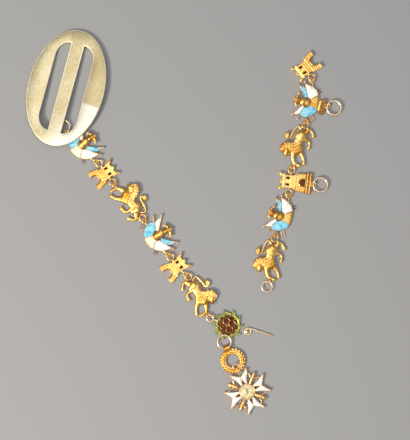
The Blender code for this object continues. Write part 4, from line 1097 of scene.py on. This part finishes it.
def wreathDrawing():
    look = wreath
    bm = bmesh.new()
    outer = look["across"] / 2
    middle = outer - look["rim"] / 2
    ring(bm, (0, 0, 0.6), middle, 1.6, around=72, sides=14, flat=0.6)
    # Leaves in pairs, from the foot up both sides, in three overlapping rows
    for side in (-1, 1):
        for i in range(11):
            spot = radians(-90 + side * (6 + 174 * i / 10.6))
            for row, (reach, splay, high, long) in enumerate(laurelRows):
                far = middle + reach
                run = spot + side * pi / 2 - side * splay
                x = far * cos(spot + side * 0.08 * row) - long / 2 * cos(run)
                y = far * sin(spot + side * 0.08 * row) - long / 2 * sin(run)
                leafShape(bm, x, y, run, long, 1.15, 0.5, high, 0.22)
    for i in range(13):
        spot = radians(-90 + 27.7 * i + 14)
        far = middle + 0.25 * (-1) ** i
        ball(bm, (far * cos(spot), far * sin(spot), 1.2), 0.17)
    # The bail: an open barrel with five ribs
    wall = look["hole"] + look["bailWall"]
    high = outer + wall - 0.45
    across = Matrix.Translation((0, high, wires["height"] + 0.1)) @ Matrix.Rotation(pi / 2, 4, "Y")
    part = bmesh.new()
    bmesh.ops.create_circle(part, radius=look["hole"], segments=28)
    bmesh.ops.create_circle(part, radius=wall - 0.08, segments=28)
    bmesh.ops.bridge_loops(part, edges=part.edges[:])
    thickened(part, look["bailLong"])
    joined(bm, part, across @ Matrix.Translation((0, 0, -look["bailLong"] / 2)))
    for shift, wire in ((-0.75, 0.62), (0.75, 0.62), (0, 0.3), (-1.18, 0.24), (1.18, 0.24)):
        part = bmesh.new()
        ring(part, (0, 0, 0), wall - wire * 0.28, wire, around=32, sides=10)
        joined(bm, part, Matrix.Translation((shift, 0, 0)) @ across)
    # The staple
    under = look["eyeHigh"] + look["eyeWire"] / 2 + wires["gap"]
    post = (look["staple"] - look["shank"] - 2 * wires["gap"]) / 2
    place = 0.75 - outer
    for side in (-1, 1):
        slab(bm, side * (look["staple"] - post) / 2, place, post, 0.8, 0.6, under + 0.2, 0.06)
    slab(bm, 0, place, look["staple"], 0.8, under, under + 0.5, 0.14)
    return bm


place = lay(*wreath["place"], wreath["turn"])
setDown(wreathDrawing(), "wreath_gold", maneGold, "cast_gold", place, "wreath")


# Star: four split white arms with ball tips, flowers between them, and a round centre

star = {"across": 19.7, "hub": 6.9, "place": (26.561, -70.984), "turn": 25.0, "plate": 1.1, "eye": 2.8,
        "tip": 21.4}
# Half of an arm. Columns: share of the star's radius, degrees from the arm's middle
armHalf = ((0.30, 24.0), (0.62, 20.5), (0.93, 23.4), (0.95, 21.2), (0.93, 19.0))


def starLine(turn, columns, side=1):
    # Columns: share of the star's radius, degrees from a turn
    return [polar(share * star["across"] / 2, turn + side * away) for share, away in columns]


def armOutline(turn):
    return starLine(turn, armHalf, -1) + starLine(turn, ((0.66, 0),)) + starLine(turn, armHalf[::-1])


def starGold():
    radius = star["across"] / 2
    bm = bmesh.new()
    hub = star["hub"] / 2
    bmesh.ops.create_cone(bm, cap_ends=True, segments=56, radius1=hub, radius2=hub - 0.15, depth=1.4,
                          matrix=Matrix.Translation((0, 0, 0.7)))
    ring(bm, (0, 0, 1.45), hub - 0.25, 0.5, around=64, sides=12)
    for i in range(48):
        turn = 2 * pi * i / 48
        ball(bm, ((hub - 0.1) * cos(turn), (hub - 0.1) * sin(turn), 1.4), 0.13)
    for quarter in range(4):
        turn = 90 + 90 * quarter
        outline = armOutline(turn)
        notch = starLine(turn, ((0.365, -9.0), (0.365, 9.0), (0.52, 0.0)))
        plate(bm, [outline, notch], 0.25, 0.25 + star["plate"], 0.1)
        rod(bm, [(*spot, 1.26, 0.08, 0.1) for spot in outline[1:-1]], 1, 8)
        for side in (-1, 1):
            rod(bm, [(*polar(share * radius, turn + side * star["tip"]), 0.85, wide, wide)
                     for share, wide in ((0.86, 0.3), (0.9, 0.36), (0.93, 0.36))], 1, 12, 2)
        # The flower between two arms: a long middle petal, three bands, and two side curls
        middle = turn + 45
        petals = ((0.32, 0.5, 0.9), (0.4, 0.7, 1.0), (0.5, 1.0, 1.1), (0.6, 1.05, 1.1), (0.72, 0.85, 1.1),
                  (0.8, 0.75, 1.0), (0.85, 0.62, 0.95), (0.88, 0.25, 0.9))
        rod(bm, [(*polar(share * radius, middle), high, wide, 0.2 + wide * 0.45)
                 for share, wide, high in petals], 1, 12, 3)
        for share, half in ((0.47, 9.5), (0.6, 9.5), (0.73, 6.5)):
            bend = ((-1, 1.15), (-0.6, 1.55), (0, 1.72), (0.6, 1.55), (1, 1.15))
            rod(bm, [(*polar(share * radius, middle + half * off), high, 0.22, 0.14)
                     for off, high in bend], 1, 10, 3)
        curl = ((0.5, 4, 0.28), (0.62, 9, 0.3), (0.74, 15, 0.28), (0.78, 21, 0.22), (0.7, 24.5, 0.24),
                (0.62, 24, 0.28))
        for side in (-1, 1):
            rod(bm, [(*polar(share * radius, middle + side * away), 0.95, wide, wide)
                     for share, away, wide in curl], 1, 10, 4)
    # The shank and eye that the wreath's staple holds
    held = radius * 0.98
    eyeUp = held + 0.4 + wires["gap"] + star["eye"] / 2
    high = wreath["eyeHigh"]
    half = wreath["shank"] / 2
    rod(bm, ((0, 0.62 * radius, 1.1, half, 0.3), (0, 0.8 * radius, high - 0.1, half, 0.25),
             (0, held, high, half, 0.22), (0, eyeUp - star["eye"] / 2 + 0.3, high, half, 0.22)), 1, 12)
    ring(bm, (0, eyeUp, high), (star["eye"] - wreath["eyeWire"]) / 2, wreath["eyeWire"], around=40, sides=12)
    return bm


def starArms():
    # Each half arm is a wedge of white enamel with a ridge down its middle
    bm = bmesh.new()
    for quarter in range(4):
        turn = 90 + 90 * quarter
        for side in (-1, 1):
            part = bmesh.new()
            bmesh.ops.create_grid(part, x_segments=14, y_segments=8, size=1)
            outerEdge = starLine(turn, ((0.335, 24.0), (0.61, 20.5), (0.93, 23.0)), side)
            innerEdge = starLine(turn, ((0.36, 11.5), (0.58, 1.6), (0.69, 2.2), (0.93, 20.4)), side)
            for vert in part.verts:
                u = (vert.co.x + 1) / 2
                v = (vert.co.y + 1) / 2
                spot = along(outerEdge, u).lerp(along(innerEdge, u), v)
                rise = (1 - (2 * u - 1) ** 6) * (1 - abs(2 * v - 1) ** 1.6)
                vert.co = (spot.x, spot.y, 1.32 + 0.26 * rise)
            thickened(part, 1.1)
            joined(bm, part)
    return bm


def starNotches():
    # Painted shade: dark sheets fill the slots at the foot of the arms
    bm = bmesh.new()
    for quarter in range(4):
        plate(bm, [starLine(90 + 90 * quarter, ((0.36, -11.5), (0.36, 11.5), (0.6, 0.0)))], 0.28, 1.4)
    return bm


def starTips():
    # A small ball on each point
    bm = bmesh.new()
    for i in range(8):
        turn = 90 * (i // 2) + (star["tip"] if i % 2 else -star["tip"])
        ball(bm, (*polar(0.955 * star["across"] / 2 - 0.1, turn), 0.95), 0.66)
    return bm


def starCentre():
    # A domed cream field
    bm = bmesh.new()
    radius = star["hub"] / 2 - 0.48
    bmesh.ops.create_uvsphere(bm, u_segments=40, v_segments=20, radius=radius)
    bmesh.ops.bisect_plane(bm, geom=bm.verts[:] + bm.edges[:] + bm.faces[:],
                           plane_co=(0, 0, 0), plane_no=(0, 0, -1), clear_outer=True)
    bmesh.ops.holes_fill(bm, edges=[e for e in bm.edges if e.is_boundary])
    bmesh.ops.scale(bm, vec=(1, 1, 0.11), verts=bm.verts)
    bmesh.ops.translate(bm, vec=(0, 0, 1.42), verts=bm.verts)
    bmesh.ops.recalc_face_normals(bm, faces=bm.faces)
    for face in bm.faces:
        face.smooth = True
    return bm


def starMark():
    # A plain sprig in the centre, where the original has its own figure
    bm = bmesh.new()
    rod(bm, ((-0.5, -1.3, 1.7, 0.1, 0.08), (-0.1, 0, 1.78, 0.12, 0.08), (0.35, 1.4, 1.68, 0.08, 0.06)),
        1, 8, 4)
    for i in range(4):
        y = -0.8 + 0.55 * i
        x = -0.3 + 0.2 * i
        for side in (-1, 1):
            leafShape(bm, x, y, radians(75 - side * 50), 0.72, 0.34, 1.6, 1.8, 0.02)
    return bm


place = lay(*star["place"], star["turn"])
setDown(starGold(), "star_gold", warmGold, "cast_gold", place, "star")
setDown(starArms(), "star_arms", whiteEnamel, "white_enamel", place)
# The ball tips are painted pale as a highlight
setDown(starTips(), "star_tips", knobHighlight, "cast_gold", place)
setDown(starNotches(), "star_notches", paintedShadeSheet, "dark_enamel", place)
setDown(starCentre(), "star_centre", creamEnamel, "cream_enamel", place)
setDown(starMark(), "star_sprig", greenEnamel, "green_enamel", place)


# Dress pin: one and a half coils for a head, and a straight tapering shaft

pin = {"wire": 0.76, "coil": 3.5, "shaft": 11.0, "place": (26.74, -45.784), "turn": -17.4}


def pinDrawing():
    look = pin
    bm = bmesh.new()
    lean = radians(look["turn"])
    half = look["wire"] / 2
    rows = []
    for i in range(49):
        share = i / 48
        turn = lean + 3 * pi * (1 - share) + pi / 2
        inwards = max(0.0, 1 - share - 0.56) / 0.44
        far = (look["coil"] - look["wire"]) / 2 - 0.1 * (1 - share) - 0.9 * inwards ** 0.8
        high = half + max(0.0, 0.62 - share) * look["wire"]
        rows.append((far * cos(turn), far * sin(turn), high, half, half))
    x0, y0 = rows[-1][:2]
    for run, wide in ((0.3, 1.0), (0.6, 0.95), (0.85, 0.7), (0.96, 0.4), (1.0, 0.12)):
        far = look["shaft"] * run
        rows.append((x0 + far * cos(lean), y0 + far * sin(lean), half, half * wide, half * wide))
    rod(bm, rows, 1, 12)
    return bm


setDown(pinDrawing(), "pin_wire", wireGold, "gold_wire", lay(*pin["place"], 0), "pin")
print("pendant made")


# Table, light and camera

def stagePlane():
    bm = bmesh.new()
    bmesh.ops.create_grid(bm, x_segments=1, y_segments=1, size=1.6)
    mesh = bpy.data.meshes.new("table")
    bm.to_mesh(mesh)
    bm.free()
    table = bpy.data.objects.new("table", mesh)
    bpy.context.scene.collection.objects.link(table)
    paint = {"Roughness": 0.9, "Base Color": linear("#9C9C9D")}
    mesh.materials.append(newMaterial("matt table paint", paint)[0])


def softLight(name, size, power, spot, colour="#FFFFFF"):
    # A square lamp that points at the middle of the table
    data = bpy.data.lights.new(name, "AREA")
    data.shape = "SQUARE"
    data.size = size
    data.energy = power
    data.color = linear(colour)[:3]
    lamp = bpy.data.objects.new(name, data)
    lamp.location = spot
    lamp.rotation_euler = (-Vector(spot)).to_track_quat("-Z", "Y").to_euler()
    bpy.context.scene.collection.objects.link(lamp)


stagePlane()
softLight("key", 0.16, 5.3, (-0.46, -0.34, 0.56), "#FFF6E6")
softLight("overhead", 0.8, 3.8, (-0.05, 0.03, 0.95))
world = bpy.data.worlds.new("studio")
world.use_nodes = True
world.node_tree.nodes["Background"].inputs["Color"].default_value = linear("#C9CCD2")
world.node_tree.nodes["Background"].inputs["Strength"].default_value = 0.5
bpy.context.scene.world = world
bpy.context.scene.view_settings.view_transform = "Standard"

view = {"aim": (0.0088, 0.0010), "frameHigh": 0.1848, "lens": 100.0, "sensor": 36.0}
cameraData = bpy.data.cameras.new("camera")
cameraData.lens = view["lens"]
cameraData.sensor_width = view["sensor"]
cameraData.clip_start = 0.01
camera = bpy.data.objects.new("camera", cameraData)
camera.location = (*view["aim"], view["frameHigh"] * view["lens"] / view["sensor"] + 0.001)
bpy.context.scene.collection.objects.link(camera)
bpy.context.scene.camera = camera
